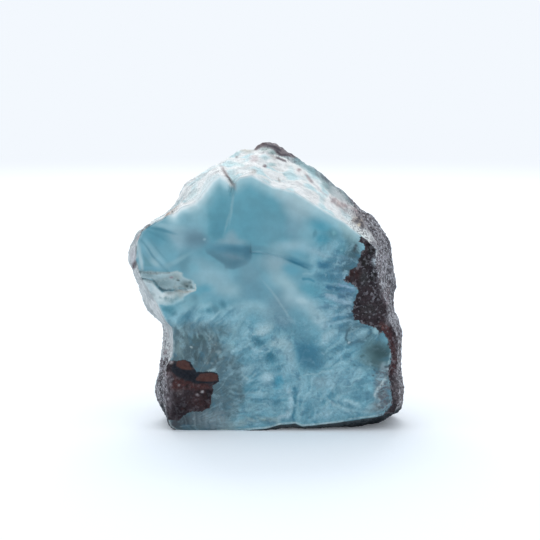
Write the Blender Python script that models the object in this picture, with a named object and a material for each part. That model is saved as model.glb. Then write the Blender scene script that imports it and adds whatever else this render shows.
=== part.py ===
"""Larimar: a hand-sized chunk of blue pectolite with the basalt it grew in, all one stone.

The stone stands on a flat base. Its front is a worn, nearly flat face with chips and low
steps. Behind the rim of that face the rough sides flare out, climb to a ridge and close in
a broken back. Places laid by hand are in millimetres in the face frame: X to the right,
Y back from the plane of the face, Z up from the base.
"""
import math

import bmesh
import bpy
from mathutils import Vector, geometry, noise

NAME = "larimar_stone"
MM = 0.001

# The middle of the stone's box in the face frame, which becomes the origin.
BOX_MIDDLE_X = 0.07
BOX_MIDDLE_Y = 22.22

# Outlines (X, Z) in mm, clockwise from the notch in the top edge. The base cut removes
# whatever lies under Z = 0.
FACE_RIM = [
    (-9.0, 69.6), (-7.4, 71.6), (-4.0, 72.2), (-1.0, 70.6), (2.0, 69.0), (8.0, 67.6),
    (12.0, 65.0), (16.0, 62.5), (22.0, 58.8), (25.0, 56.2), (28.0, 54.0), (30.3, 51.5),
    (29.9, 47.0), (30.6, 43.0), (33.4, 36.0), (33.8, 32.5), (36.2, 27.5), (36.8, 24.0),
    (36.4, 16.0), (37.2, 8.5), (36.0, 5.3), (31.0, 4.2), (22.0, 2.8), (14.0, 1.7),
    (10.0, 1.4), (8.2, 2.2), (4.0, 1.9), (0.0, 0.8), (-6.0, 0.1), (-9.0, -4.5),
    (-23.0, -4.5), (-25.5, 0.0), (-27.0, 1.2), (-27.8, 4.5), (-28.2, 7.0), (-27.8, 13.0),
    (-28.0, 18.5), (-26.3, 21.5), (-26.0, 25.0), (-26.3, 29.5), (-28.3, 31.8),
    (-30.0, 35.5), (-32.6, 39.8), (-34.2, 42.4), (-34.9, 43.6), (-35.2, 44.7),
    (-35.7, 45.9), (-36.2, 48.5), (-35.8, 53.5),
    (-34.6, 56.6), (-31.2, 58.8), (-28.0, 60.5), (-25.0, 61.9), (-23.6, 63.4),
    (-20.0, 64.6), (-18.2, 66.4), (-15.3, 70.5), (-12.8, 72.4), (-10.6, 71.2),
]
GIRTH = [
    (-8.5, 74.9), (-4.0, 76.0), (0.0, 75.8), (4.0, 74.6), (10.0, 71.6), (16.0, 67.4),
    (24.0, 61.2), (28.0, 57.8), (31.0, 55.4), (33.6, 52.2), (35.1, 48.6), (36.0, 44.5),
    (36.9, 40.0), (36.9, 37.0), (36.0, 34.2), (36.5, 32.0), (38.3, 29.3), (38.8, 27.0),
    (38.5, 22.0), (38.1, 17.0), (39.1, 13.0), (39.6, 9.8), (39.1, 7.2), (39.3, 4.2),
    (38.2, 2.4), (34.5, 0.6), (27.0, -4.5), (-24.0, -4.5), (-28.6, 0.2), (-29.6, 2.3),
    (-31.2, 4.4), (-32.3, 6.8), (-32.0, 9.8), (-30.6, 14.0), (-30.2, 19.0), (-29.4, 23.0),
    (-29.1, 27.0), (-31.0, 29.4), (-34.0, 32.2), (-35.4, 35.5), (-37.0, 40.0),
    (-37.7, 43.6), (-38.8, 46.3), (-39.0, 49.4), (-38.0, 51.4), (-36.6, 54.0),
    (-34.0, 56.4), (-30.0, 59.2), (-27.4, 61.6), (-25.0, 64.8), (-22.4, 68.8),
    (-19.6, 70.4), (-16.0, 72.8), (-12.4, 74.6),
]
RIDGE = [
    (-8.5, 78.1), (-6.0, 78.4), (-4.4, 77.8), (-3.3, 77.4), (-2.4, 78.8), (-0.6, 79.6),
    (2.2, 79.3), (5.0, 77.4), (8.4, 76.0), (12.0, 72.9), (16.2, 70.5), (18.2, 68.2),
    (19.6, 66.0), (26.4, 61.8), (30.0, 58.4), (32.0, 54.6), (34.2, 51.4), (35.4, 48.4),
    (36.2, 42.0), (36.4, 36.0), (37.4, 30.0), (38.0, 22.0), (37.6, 14.0), (38.4, 8.0),
    (37.2, 2.0), (31.0, -4.5), (-25.0, -4.5), (-29.5, 1.5), (-31.2, 6.0), (-30.8, 12.0),
    (-29.6, 20.0), (-30.6, 27.5), (-34.2, 34.0), (-36.8, 41.0), (-37.6, 46.5),
    (-36.6, 51.5), (-32.6, 56.4), (-27.2, 60.6), (-22.6, 67.4), (-17.0, 71.4),
    (-12.2, 73.9), (-10.8, 76.4),
]
SHOULDER = [
    (-6.0, 71.6), (2.0, 73.0), (9.0, 69.0), (17.0, 61.5), (25.0, 54.0), (31.0, 46.0),
    (33.0, 36.0), (33.4, 26.0), (34.6, 14.0), (33.4, 5.0), (28.0, -4.5), (-22.0, -4.5),
    (-26.4, 6.0), (-25.6, 16.0), (-26.6, 26.0), (-31.0, 35.0), (-32.6, 44.0),
    (-29.4, 52.5), (-23.0, 60.5), (-15.0, 67.8),
]
BACK_EDGE = [
    (-4.0, 60.5), (5.0, 61.0), (14.0, 54.0), (21.5, 44.0), (25.0, 33.0), (26.0, 18.0),
    (24.0, 7.0), (20.0, -4.5), (-15.0, -4.5), (-18.6, 8.0), (-20.4, 21.0), (-22.6, 33.0),
    (-21.0, 45.0), (-13.5, 54.5),
]
STATIONS = [
    (0.0, FACE_RIM, 5), (14.0, GIRTH, 5), (26.0, RIDGE, 5), (36.0, SHOULDER, 5),
    (42.6, BACK_EDGE, 0),
]
CENTRE = (0.0, 36.0)
MERIDIAN_STEP = 2.2
MERIDIAN_GAP = 1.1
BACK_CROWN = 1.6
BACK_CROWN_REACH = 16.0
WANDER = 2.6
WANDER_SIZE = 0.6
WANDER_SEED = 5.3
BACK_WANDER_SHARE = 0.6

# Reliefs of the worn face (X, Z in mm; heights towards the viewer are positive).
STEP_EDGE = [
    (-20.0, 51.6), (-16.0, 50.2), (-12.0, 47.6), (-9.5, 46.3), (-5.3, 46.9), (-4.2, 50.3),
    (0.0, 50.0), (4.0, 49.0), (8.0, 47.4), (14.0, 46.2),
]
STEP_HEIGHT = 1.3
STEP_SLOPE_LEFT = 4.4
STEP_SLOPE_RIGHT = 1.1
STEP_END_FADE = 6.0
STEP_FADE = (8.0, 21.0)
LEFT_FACET_RIDGE = [(-38.0, 56.8), (-28.0, 47.3)]
LEFT_FACET_END = [(-28.0, 47.3), (-26.5, 44.0)]
LEFT_FACET_TILT = 0.26
HOLLOW_EDGE = [
    (-39.0, 45.0), (-34.0, 45.4), (-31.0, 45.8), (-28.0, 45.3), (-25.0, 45.6),
    (-22.0, 43.6), (-20.4, 42.8), (-19.4, 40.0), (-24.0, 37.4), (-26.0, 36.0),
    (-29.5, 35.8), (-30.0, 33.5), (-35.0, 33.0),
]
HOLLOW_OPEN_SIDE = [(-45.0, 33.0), (-45.0, 45.0)]
HOLLOW_DEPTH = 3.6
HOLLOW_LIP_DEPTH = 1.0
HOLLOW_LIP_WIDTH = 2.2
HOLLOW_LEDGE_WIDTH = 3.0
HOLLOW_WALL_WIDTH = 4.6
LEDGE = [
    (-37.0, 43.6), (-34.0, 43.4), (-31.0, 42.3), (-29.0, 40.3), (-27.4, 39.6),
    (-25.0, 40.1), (-21.5, 39.9),
]
LEDGE_STEP = 0.9
CREASES = [
    STEP_EDGE, [(-34.9, 53.8), LEFT_FACET_RIDGE[1]], [(-35.0, 45.6)] + HOLLOW_EDGE[2:11],
    LEDGE[2:], [(x, z - LEDGE_STEP) for x, z in LEDGE[2:]], [(-9.4, 69.0), (-9.6, 66.0)],
]
NOTCH = [(-12.0, 75.0), (-9.4, 69.8), (-9.6, 66.0), (-9.8, 61.0)]
NOTCH_DEPTH = 2.4
NOTCH_WIDTH = 1.3
NOTCH_OPENS = (64.0, 70.8)
BASALT_CLUMP = [
    (-27.5, 13.0), (-24.0, 15.0), (-19.0, 15.2), (-15.6, 12.8), (-15.4, 6.6), (-18.5, 4.6),
    (-24.0, 4.2), (-28.0, 5.5),
]
CLUMP_HEIGHT = 0.9
CLUMP_EDGE = 2.5
BASALT_FLANK = [
    (27.0, 54.5), (26.2, 50.0), (25.2, 46.0), (21.6, 43.2), (24.8, 40.4), (24.4, 34.0),
    (26.0, 31.0), (31.0, 29.0), (34.0, 25.5), (34.4, 19.0), (34.0, 15.0), (35.2, 11.0),
    (33.0, 6.0), (38.0, 3.0), (40.0, 30.0), (34.0, 54.0),
]
BASALT_SINK = 0.7
BASALT_SINK_EDGE = 2.0
FOOT_BEVEL_HEIGHT = 2.6
FOOT_BEVEL_DEPTH = 1.6
FOOT_BEVEL_END = (-9.0, -3.0)
RIM_ROUNDING = 0.7
RIM_ROUNDING_WIDTH = 2.6
FACE_GRID = 2.5
BACK_GRID = 3.6
GRID_CLEARANCE = 0.62
GRID_INSET = 0.5
FACE_WAVE = 0.22
FACE_WAVE_SIZE = 13.0
FACE_WAVE_SEED = 4.0

# Broken planes of the sides and back: a point on each (mm) and the way it faces.
BREAKS = [
    ((2.0, 39.0, 60.0), (0.10, 0.80, 0.60)),
    ((-24.0, 37.0, 22.0), (-0.62, 0.78, -0.08)),
    ((27.0, 37.5, 30.0), (0.66, 0.74, 0.12)),
    ((14.0, 38.0, 52.0), (0.48, 0.74, 0.46)),
    ((-24.0, 33.0, 56.0), (-0.62, 0.60, 0.50)),
    ((4.0, 43.4, 20.0), (0.06, 0.99, -0.12)),
    ((35.4, 27.0, 14.0), (0.92, 0.38, -0.06)),
    ((-34.0, 28.0, 42.0), (-0.86, 0.50, 0.10)),
    ((-28.5, 26.0, 12.0), (-0.82, 0.54, -0.18)),
    ((28.0, 36.0, 8.0), (0.58, 0.70, -0.40)),
    ((-13.0, 35.0, 68.0), (-0.36, 0.60, 0.72)),
    ((21.0, 31.5, 60.0), (0.52, 0.54, 0.66)),
]
BREAK_KEEP = 0.06
RIM_KEEP = 7.0
BACK_SPAN = (22.0, 36.0)
LUMP_SIZES = [(15.0, 0.9), (6.5, 0.5), (3.6, 0.3)]
LUMP_SEED = (3.1, 7.7, 1.3)
SCOOP_SIZES = [(11.5, 3.4), (5.4, 1.1)]
SCOOP_SEED = (5.3, 2.2, 8.4)
SCOOP_MEAN = 0.26
SCOOP_FRONT_SHARE = 0.3
ROUGH_SINK = 0.5
LEDGE_BANDS = [(5.5, 0.55), (12.5, 0.75), (20.0, 0.5)]
LEDGE_BAND_SPAN = (18.0, 100.0)
LEDGE_SPAN_FADE = (10.0, 8.0)
LEDGE_WAVE = 1.4
LEDGE_WAVE_SIZE = 9.0
LEDGE_FRONT = 0.8
LEDGE_TAIL = 6.0
CUT_TOLERANCE = 0.02
BLUE = (0.20, 0.45, 0.56, 1.0)
ROUGHNESS = 0.42
SHARP_TURN = math.radians(28.0)


def clear_scene():
    for old in list(bpy.data.objects):
        bpy.data.objects.remove(old, do_unlink=True)


def smooth_step(low, high, value):
    t = min(max((value - low) / (high - low), 0.0), 1.0)
    return t * t * (3.0 - 2.0 * t)


def angle_of(x, z):
    return math.degrees(math.atan2(z - CENTRE[1], x - CENTRE[0]))


def outline_radius(outline, degrees):
    """Distance from the centre to a closed outline, along one direction."""
    ray = Vector((math.cos(math.radians(degrees)), math.sin(math.radians(degrees))))
    for start, end in zip(outline, outline[1:] + outline[:1]):
        a = Vector(start) - Vector(CENTRE)
        side = Vector(end) - Vector(start)
        cross = ray.x * side.y - ray.y * side.x
        if abs(cross) < 1e-9:
            continue
        along_ray = (a.x * side.y - a.y * side.x) / cross
        along_side = (a.x * ray.y - a.y * ray.x) / cross
        if along_ray > 0.0 and -1e-7 <= along_side <= 1.0 + 1e-7:
            return along_ray
    raise ValueError("the outline doesn't go round the centre")


def meridians():
    """Directions of the meridians: every corner of the rim and the ridge, and steps between."""
    corners = [angle_of(x, z) for x, z in FACE_RIM]
    for x, z in RIDGE:
        angle = angle_of(x, z)
        if min(abs(angle - corner) for corner in corners) > MERIDIAN_GAP:
            corners.append(angle)
    corners.sort()
    angles = []
    for angle, following in zip(corners, corners[1:] + [corners[0] + 360.0]):
        middle = 0.5 * (angle + following)
        arc = math.radians(following - angle) * outline_radius(GIRTH, middle)
        steps = max(1, round(arc / MERIDIAN_STEP))
        angles += [angle + (following - angle) * step / steps for step in range(steps)]
    return angles


def nearest(path, x, z):
    """Distance from a point to a path, and on which side of it the point lies (+1 or -1)."""
    point = Vector((x, z))
    best = (1e9, 1.0)
    for start, end in zip(path, path[1:]):
        a = Vector(start)
        run = Vector(end) - a
        t = min(max((point - a).dot(run) / run.length_squared, 0.0), 1.0)
        gap = point - (a + run * t)
        side = run.x * (z - a.y) - run.y * (x - a.x)
        if gap.length < best[0] - 1e-6:
            best = (gap.length, 1.0 if side >= 0.0 else -1.0)
    return best


def inside(polygon, x, z):
    crossings = 0
    for (ax, az), (bx, bz) in zip(polygon, polygon[1:] + polygon[:1]):
        if (az > z) != (bz > z) and x < ax + (z - az) / (bz - az) * (bx - ax):
            crossings += 1
    return crossings % 2 == 1


def inset_depth(polygon, x, z):
    """How far inside a closed polygon a point lies, or zero outside it."""
    if not inside(polygon, x, z):
        return 0.0
    return nearest(polygon + polygon[:1], x, z)[0]


def step_relief(x, z):
    """The low broken step across the middle: the face above it stands proud."""
    distance, side = nearest(STEP_EDGE, x, z)
    if side < 0.0:
        return 0.0
    slope = STEP_SLOPE_LEFT if x < STEP_EDGE[5][0] else STEP_SLOPE_RIGHT
    ends = smooth_step(STEP_EDGE[0][0] - STEP_END_FADE, STEP_EDGE[2][0], x)
    ends *= 1.0 - smooth_step(STEP_EDGE[6][0], STEP_EDGE[9][0] + STEP_END_FADE, x)
    fade = 1.0 - smooth_step(*STEP_FADE, distance)
    return STEP_HEIGHT * ends * fade * smooth_step(0.0, slope, distance)


def left_facet_relief(x, z):
    """The facet at the far left, which leans back from a straight ridge."""
    distance, side = nearest(LEFT_FACET_RIDGE, x, z)
    beyond_end = nearest(LEFT_FACET_END, x, z)[1] > 0.0
    if side > 0.0 or beyond_end or z < HOLLOW_EDGE[0][1]:
        return 0.0
    return -LEFT_FACET_TILT * distance


def hollow_relief(x, z):
    """The chipped hollow: deep above its ledge, with a pale lip below."""
    if not inside(HOLLOW_EDGE + HOLLOW_OPEN_SIDE, x, z):
        return 0.0
    rim_distance = nearest(HOLLOW_EDGE, x, z)[0]
    ledge_distance, side = nearest(LEDGE, x, z)
    lip = HOLLOW_LIP_DEPTH * smooth_step(0.0, HOLLOW_LIP_WIDTH, rim_distance)
    if side < 0.0:
        drop = 1.0 - smooth_step(0.0, LEDGE_STEP, ledge_distance)
        drop *= smooth_step(0.0, HOLLOW_LEDGE_WIDTH, rim_distance)
        return -(lip + (HOLLOW_DEPTH - lip) * drop)
    return -HOLLOW_DEPTH * smooth_step(0.0, HOLLOW_WALL_WIDTH, rim_distance)


def notch_relief(x, z):
    """A crack that opens into a notch at the top edge."""
    distance = nearest(NOTCH, x, z)[0]
    opening = smooth_step(*NOTCH_OPENS, z)
    return -NOTCH_DEPTH * opening * (1.0 - smooth_step(0.0, NOTCH_WIDTH, distance))


def face_relief(x, z):
    """Height of the worn face over its own plane, in mm."""
    height = step_relief(x, z) + left_facet_relief(x, z) + hollow_relief(x, z)
    height += notch_relief(x, z)
    height += CLUMP_HEIGHT * smooth_step(0.0, CLUMP_EDGE, inset_depth(BASALT_CLUMP, x, z))
    height -= BASALT_SINK * smooth_step(0.0, BASALT_SINK_EDGE, inset_depth(BASALT_FLANK, x, z))
    foot = 1.0 - smooth_step(*FOOT_BEVEL_END, x)
    height -= FOOT_BEVEL_DEPTH * foot * max(0.0, 1.0 - z / FOOT_BEVEL_HEIGHT)
    wave_place = Vector((x / FACE_WAVE_SIZE, FACE_WAVE_SEED, z / FACE_WAVE_SIZE))
    height += FACE_WAVE * noise.noise(wave_place)
    rim_distance = nearest(FACE_RIM + FACE_RIM[:1], x, z)[0]
    return height - RIM_ROUNDING * (1.0 - smooth_step(0.0, RIM_ROUNDING_WIDTH, rim_distance))


def catmull_rom(values, index, t):
    """A smooth value between values[index] and values[index + 1]."""
    before = values[max(index - 1, 0)]
    start = values[index]
    end = values[index + 1]
    after = values[min(index + 2, len(values) - 1)]
    slope_start = 0.5 * (end - before)
    slope_end = 0.5 * (after - start)
    h = 3.0 * t * t - 2.0 * t ** 3
    return (start * (1.0 - h) + end * h + slope_start * (t ** 3 - 2.0 * t * t + t)
            + slope_end * (t ** 3 - t * t))


def ring_places(angle):
    """Points of one meridian from the rim to the back edge, as (x, y, z) in mm."""
    radii = [outline_radius(outline, angle) for _, outline, _ in STATIONS]
    depths = [depth for depth, _, _ in STATIONS]
    direction = (math.cos(math.radians(angle)), math.sin(math.radians(angle)))
    wander = WANDER * noise.noise(Vector((direction[0], WANDER_SEED, direction[1])) / WANDER_SIZE)
    places = []
    for index, (_, _, bands) in enumerate(STATIONS[:-1]):
        for band in range(bands):
            t = band / bands
            radius = catmull_rom(radii, index, t)
            depth = catmull_rom(depths, index, t)
            depth += wander * math.sin(math.pi * min(depth / depths[-1], 1.0))
            places.append((direction[0] * radius, depth, CENTRE[1] + direction[1] * radius))
    places.append((direction[0] * radii[-1], depths[-1] + BACK_WANDER_SHARE * wander,
                   CENTRE[1] + direction[1] * radii[-1]))
    return places


def grid_points(outline, laid, pitch):
    """A triangular grid of points inside an outline, clear of the points already laid."""
    low_x = min(x for x, _ in outline)
    high_x = max(x for x, _ in outline)
    low_z = min(z for _, z in outline)
    high_z = max(z for _, z in outline)
    row_height = pitch * math.sqrt(0.75)
    grid = []
    for row in range(int((high_z - low_z) / row_height) + 1):
        for column in range(int((high_x - low_x) / pitch) + 1):
            place = Vector((low_x + (column + 0.5 * (row % 2)) * pitch, low_z + row * row_height))
            clear = min((place - other).length for other in laid)
            inset = inset_depth(outline, place.x, place.y)
            if clear > GRID_CLEARANCE * pitch and inset > GRID_INSET * pitch:
                grid.append(place)
    return grid


def fill_loop(bm, loop, points, edges, depth_at):
    """Triangulate inside a loop of vertices; new points get their depth from depth_at."""
    border = list(range(len(loop)))
    flat, _, faces, sources, _, _ = geometry.delaunay_2d_cdt(points, edges, [border], 1, 1e-5)
    verts = []
    for place, source in zip(flat, sources):
        on_loop = [index for index in source if index < len(loop)]
        if on_loop:
            verts.append(loop[on_loop[0]])
        else:
            verts.append(bm.verts.new((place.x, depth_at(place.x, place.y), place.y)))
    for face in faces:
        bm.faces.new([verts[index] for index in face])
    return set(verts)


def add_face(bm, rim):
    """Fill the rim with the worn face, keeping the creases of its reliefs as edges."""
    points = [Vector((vert.co.x, vert.co.z)) for vert in rim]
    outline = [tuple(point) for point in points]
    edges = []
    for path in CREASES:
        first = len(points)
        points += [Vector(place) for place in path]
        edges += [(index, index + 1) for index in range(first, len(points) - 1)]
    points += grid_points(outline, points, FACE_GRID)
    return fill_loop(bm, rim, points, edges, lambda x, z: -face_relief(x, z))


def add_back(bm, edge):
    """Close the back with a low crowned cap."""
    points = [Vector((vert.co.x, vert.co.z)) for vert in edge]
    outline = [tuple(point) for point in points]

    def crown_depth(x, z):
        rise = smooth_step(0.0, BACK_CROWN_REACH, inset_depth(outline, x, z))
        return STATIONS[-1][0] + BACK_CROWN * rise

    points += grid_points(outline, points, BACK_GRID)
    fill_loop(bm, edge, points, [], crown_depth)


def break_and_roughen(rough):
    """Flatten the broken planes, then add lumps and scoops to the rough sides and back."""
    for vert in rough:
        for point, facing in BREAKS:
            normal = Vector(facing).normalized()
            over = (vert.co - Vector(point)).dot(normal)
            if over > 0.0:
                vert.co -= normal * over * (1.0 - BREAK_KEEP)
    moves = []
    for vert in rough:
        near_rim = smooth_step(0.0, RIM_KEEP, vert.co.y)
        behind = smooth_step(*BACK_SPAN, vert.co.y)
        shift = -ROUGH_SINK
        for size, amount in LUMP_SIZES:
            shift += amount * noise.noise(vert.co / size + Vector(LUMP_SEED))
        for size, amount in SCOOP_SIZES:
            scoop = noise.voronoi(vert.co / size + Vector(SCOOP_SEED))[0][0]
            share = SCOOP_FRONT_SHARE + (1.0 - SCOOP_FRONT_SHARE) * behind
            shift += amount * (scoop * scoop - SCOOP_MEAN) * share
        moves.append(vert.normal * shift * near_rim)
    for vert, move in zip(rough, moves):
        vert.co += move


def cut_ledges(rough):
    """Low layered ledges, parallel to the rim, on the upper right slope."""
    low, high = LEDGE_BAND_SPAN
    for vert in rough:
        angle = angle_of(vert.co.x, vert.co.z)
        span = smooth_step(low - LEDGE_SPAN_FADE[0], low + LEDGE_SPAN_FADE[1], angle)
        span -= smooth_step(high - LEDGE_SPAN_FADE[1], high + LEDGE_SPAN_FADE[1], angle)
        depth = vert.co.y + LEDGE_WAVE * noise.noise(vert.co / LEDGE_WAVE_SIZE)
        lift = sum(amount * (smooth_step(place - LEDGE_FRONT, place + LEDGE_FRONT, depth)
                             - smooth_step(place + LEDGE_FRONT, place + LEDGE_TAIL, depth))
                   for place, amount in LEDGE_BANDS)
        out = Vector((vert.co.x - CENTRE[0], 0.0, vert.co.z - CENTRE[1])).normalized()
        vert.co += out * lift * max(span, 0.0)


def cut_base(bm):
    """Cut the stone off flat at Z = 0 and close the cut."""
    whole = list(bm.verts) + list(bm.edges) + list(bm.faces)
    cut = bmesh.ops.bisect_plane(bm, geom=whole, dist=CUT_TOLERANCE, plane_co=(0.0, 0.0, 0.0),
                                 plane_no=(0.0, 0.0, -1.0), clear_outer=True)
    edges = [item for item in cut["geom_cut"] if isinstance(item, bmesh.types.BMEdge)]
    bmesh.ops.triangle_fill(bm, use_beauty=True, edges=edges, normal=(0.0, 0.0, -1.0))
    for item in cut["geom_cut"]:
        if isinstance(item, bmesh.types.BMVert):
            item.co.z = 0.0


def stone_material():
    material = bpy.data.materials.new("larimar")
    material.use_nodes = True
    shader = material.node_tree.nodes["Principled BSDF"]
    shader.inputs["Base Color"].default_value = BLUE
    shader.inputs["Roughness"].default_value = ROUGHNESS
    shader.inputs["Metallic"].default_value = 0.0
    return material


def build_stone():
    bm = bmesh.new()
    rings = [[] for _ in range(1 + sum(bands for _, _, bands in STATIONS))]
    for angle in meridians():
        for ring, place in zip(rings, ring_places(angle)):
            ring.append(bm.verts.new(place))
    for vert in rings[0]:
        vert.co.y = -face_relief(vert.co.x, vert.co.z)
    for inner, outer in zip(rings, rings[1:]):
        for index in range(len(inner)):
            following = (index + 1) % len(inner)
            bm.faces.new((inner[index], inner[following], outer[following], outer[index]))
    worn = add_face(bm, rings[0])
    add_back(bm, rings[-1])
    bmesh.ops.recalc_face_normals(bm, faces=bm.faces)
    bm.normal_update()
    rough = [vert for vert in bm.verts if vert not in worn]
    break_and_roughen(rough)
    cut_ledges(rough)
    bmesh.ops.triangulate(bm, faces=bm.faces, quad_method="BEAUTY")
    cut_base(bm)
    bmesh.ops.triangulate(bm, faces=bm.faces, quad_method="BEAUTY")
    bmesh.ops.recalc_face_normals(bm, faces=bm.faces)
    for vert in bm.verts:
        vert.co = Vector((vert.co.x - BOX_MIDDLE_X, vert.co.y - BOX_MIDDLE_Y, vert.co.z)) * MM
    mesh = bpy.data.meshes.new(NAME)
    bm.to_mesh(mesh)
    bm.free()
    stone = bpy.data.objects.new(NAME, mesh)
    bpy.context.scene.collection.objects.link(stone)
    mesh.materials.append(stone_material())
    mesh.shade_smooth()
    mesh.set_sharp_from_angle(angle=SHARP_TURN)
    corners = [vert.co for vert in mesh.vertices]
    low = [min(corner[axis] for corner in corners) / MM for axis in range(3)]
    high = [max(corner[axis] for corner in corners) / MM for axis in range(3)]
    print("stone, mm:", [round(v, 2) for v in low], [round(v, 2) for v in high],
          "triangles:", len(mesh.polygons))


clear_scene()
build_stone()
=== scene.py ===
# %% [markdown]
# # A rough piece of larimar
# Larimar is blue pectolite, a mineral that grew in the cracks of dark basalt. This piece
# stands on a flat base and shows one worn blue face, a chalky white rind and the basalt that
# it grew in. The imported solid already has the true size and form, so this lesson starts from
# it: the solid becomes a fine mesh, the mesh gets its grain, and then the colours are painted.

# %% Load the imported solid
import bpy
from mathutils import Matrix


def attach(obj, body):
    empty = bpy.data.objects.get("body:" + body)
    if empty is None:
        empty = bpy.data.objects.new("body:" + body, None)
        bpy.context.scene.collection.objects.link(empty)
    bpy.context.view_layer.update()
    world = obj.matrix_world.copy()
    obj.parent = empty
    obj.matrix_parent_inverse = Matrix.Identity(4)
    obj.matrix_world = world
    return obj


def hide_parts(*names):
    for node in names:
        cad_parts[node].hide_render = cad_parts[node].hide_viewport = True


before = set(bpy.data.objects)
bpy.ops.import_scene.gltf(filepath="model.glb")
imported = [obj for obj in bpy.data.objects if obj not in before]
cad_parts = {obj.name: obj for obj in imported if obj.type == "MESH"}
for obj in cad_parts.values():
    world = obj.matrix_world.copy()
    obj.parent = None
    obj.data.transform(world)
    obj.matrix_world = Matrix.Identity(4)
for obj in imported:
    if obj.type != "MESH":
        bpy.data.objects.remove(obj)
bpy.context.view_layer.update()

# %% Tools for the whole lesson
import math
import random

import bmesh
import bpy
import numpy as np
from mathutils import Vector, noise

MM = 0.001

# %% [markdown]
# ## The camera
# The photograph looks at the face from a little above, about 8 degrees, with a long lens. A
# long lens keeps the sides from flaring, as they would with a wide one close by. The camera
# is placed from the point it aims at, so only the angle, the distance and the lens matter.

# %% Camera
CAMERA_AIM = Vector((0.93, -22.22, 45.88)) * MM
CAMERA_RISE = math.radians(8.0)
CAMERA_DISTANCE = 500.0 * MM
CAMERA_LENS = 120.0
CAMERA_SENSOR = 36.0

towards_camera = Vector((0.0, -math.cos(CAMERA_RISE), math.sin(CAMERA_RISE)))
camera_data = bpy.data.cameras.new("camera")
camera_data.lens = CAMERA_LENS
camera_data.sensor_width = CAMERA_SENSOR
camera_data.clip_start = 0.01
camera_data.clip_end = 30.0
camera = bpy.data.objects.new("camera", camera_data)
camera.location = CAMERA_AIM + towards_camera * CAMERA_DISTANCE
camera.rotation_mode = "QUATERNION"
camera.rotation_quaternion = (-towards_camera).to_track_quat("-Z", "Y")
bpy.context.scene.collection.objects.link(camera)
bpy.context.scene.camera = camera
bpy.context.scene.view_settings.view_transform = "Standard"
print("camera at, mm:", [round(v / MM, 1) for v in camera.location])

# %% [markdown]
# ## Helpers for node materials
# A node tree is easier to read when each node takes one line. These helpers make a node,
# set its fields and plug its inputs. An input can be a number, a colour or another node's
# output, and the helper works out which one it was given.

# %% Node helpers
def add_node(tree, kind, plugs=None, **fields):
    made = tree.nodes.new(kind)
    for name, value in fields.items():
        setattr(made, name, value)
    for name, value in (plugs or {}).items():
        if isinstance(value, bpy.types.NodeSocket):
            tree.links.new(value, made.inputs[name])
        else:
            made.inputs[name].default_value = value
    return made


def maths(tree, operation, first, second=0.0):
    return add_node(tree, "ShaderNodeMath", {0: first, 1: second}, operation=operation).outputs[0]


def ramp_between(tree, value, low, high, out_low=0.0, out_high=1.0):
    plugs = {"Value": value, "From Min": low, "From Max": high, "To Min": out_low,
             "To Max": out_high}
    made = add_node(tree, "ShaderNodeMapRange", plugs, interpolation_type="SMOOTHSTEP")
    return made.outputs["Result"]


def mix_colours(tree, share, first, second, blend="MIX"):
    plugs = {0: share, 6: first, 7: second}
    made = add_node(tree, "ShaderNodeMix", plugs, data_type="RGBA", blend_type=blend)
    return made.outputs[2]


def seen_colour(red, green, blue):
    """A colour as it looks on a screen, 0 to 255, as the light values that shaders use."""
    values = []
    for value in (red / 255.0, green / 255.0, blue / 255.0):
        values.append(value / 12.92 if value <= 0.04045 else ((value + 0.055) / 1.055) ** 2.4)
    return (*values, 1.0)


# %% [markdown]
# ## The floor and the light
# The stone stands on a plain white sheet. A large disc does for it, because a round edge
# looks the same from every side. Far out the sheet takes no light and shines with the pale
# colour of the room instead, so floor and backdrop meet without an edge, like bent paper
# behind a product photograph. The room is an even, pale world, and one large soft light hangs
# above and slightly behind the stone, so the shade falls softly to the front.

# %% Floor and light
FLOOR_RADIUS = 6.0
FLOOR_WHITE = seen_colour(242, 247, 251)
GLOW_FROM_TO = (0.35, 1.0)
FLOOR_GLOW = 0.07
ROOM_COLOUR = seen_colour(243, 248, 254)
SOFTBOX_SIZE = 0.75
SOFTBOX_PLACE = Vector((-0.06, 0.80, 0.68))
SOFTBOX_POWER = 5.0

bpy.ops.mesh.primitive_circle_add(vertices=96, radius=FLOOR_RADIUS, fill_type="NGON")
floor = bpy.context.active_object
floor.name = "floor"
floor_finish = bpy.data.materials.new("white_sheet")
floor_finish.use_nodes = True
tree = floor_finish.node_tree
place = add_node(tree, "ShaderNodeTexCoord").outputs["Object"]
reach = add_node(tree, "ShaderNodeVectorMath", {0: place}, operation="LENGTH").outputs["Value"]
far = ramp_between(tree, reach, *GLOW_FROM_TO)
shader = tree.nodes["Principled BSDF"]
shader.inputs["Roughness"].default_value = 0.9
shader.inputs["Specular IOR Level"].default_value = 0.0
shader.inputs["Emission Color"].default_value = ROOM_COLOUR

sheet_colour = mix_colours(tree, far, FLOOR_WHITE, (0.0, 0.0, 0.0, 1.0))
tree.links.new(sheet_colour, shader.inputs["Base Color"])
glow = maths(tree, "MAXIMUM", far, FLOOR_GLOW)
tree.links.new(glow, shader.inputs["Emission Strength"])
floor.data.materials.append(floor_finish)

room = bpy.data.worlds.new("pale_room")
room.use_nodes = True
room.node_tree.nodes["Background"].inputs["Color"].default_value = ROOM_COLOUR
bpy.context.scene.world = room

softbox = bpy.data.lights.new("softbox", "AREA")
softbox.size = SOFTBOX_SIZE
softbox.energy = SOFTBOX_POWER
softbox_stand = bpy.data.objects.new("softbox", softbox)
softbox_stand.location = SOFTBOX_PLACE
softbox_stand.rotation_mode = "QUATERNION"
softbox_stand.rotation_quaternion = (-SOFTBOX_PLACE).to_track_quat("-Z", "Y")
bpy.context.scene.collection.objects.link(softbox_stand)
print("floor radius, m:", FLOOR_RADIUS, "softbox, W:", SOFTBOX_POWER)

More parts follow.
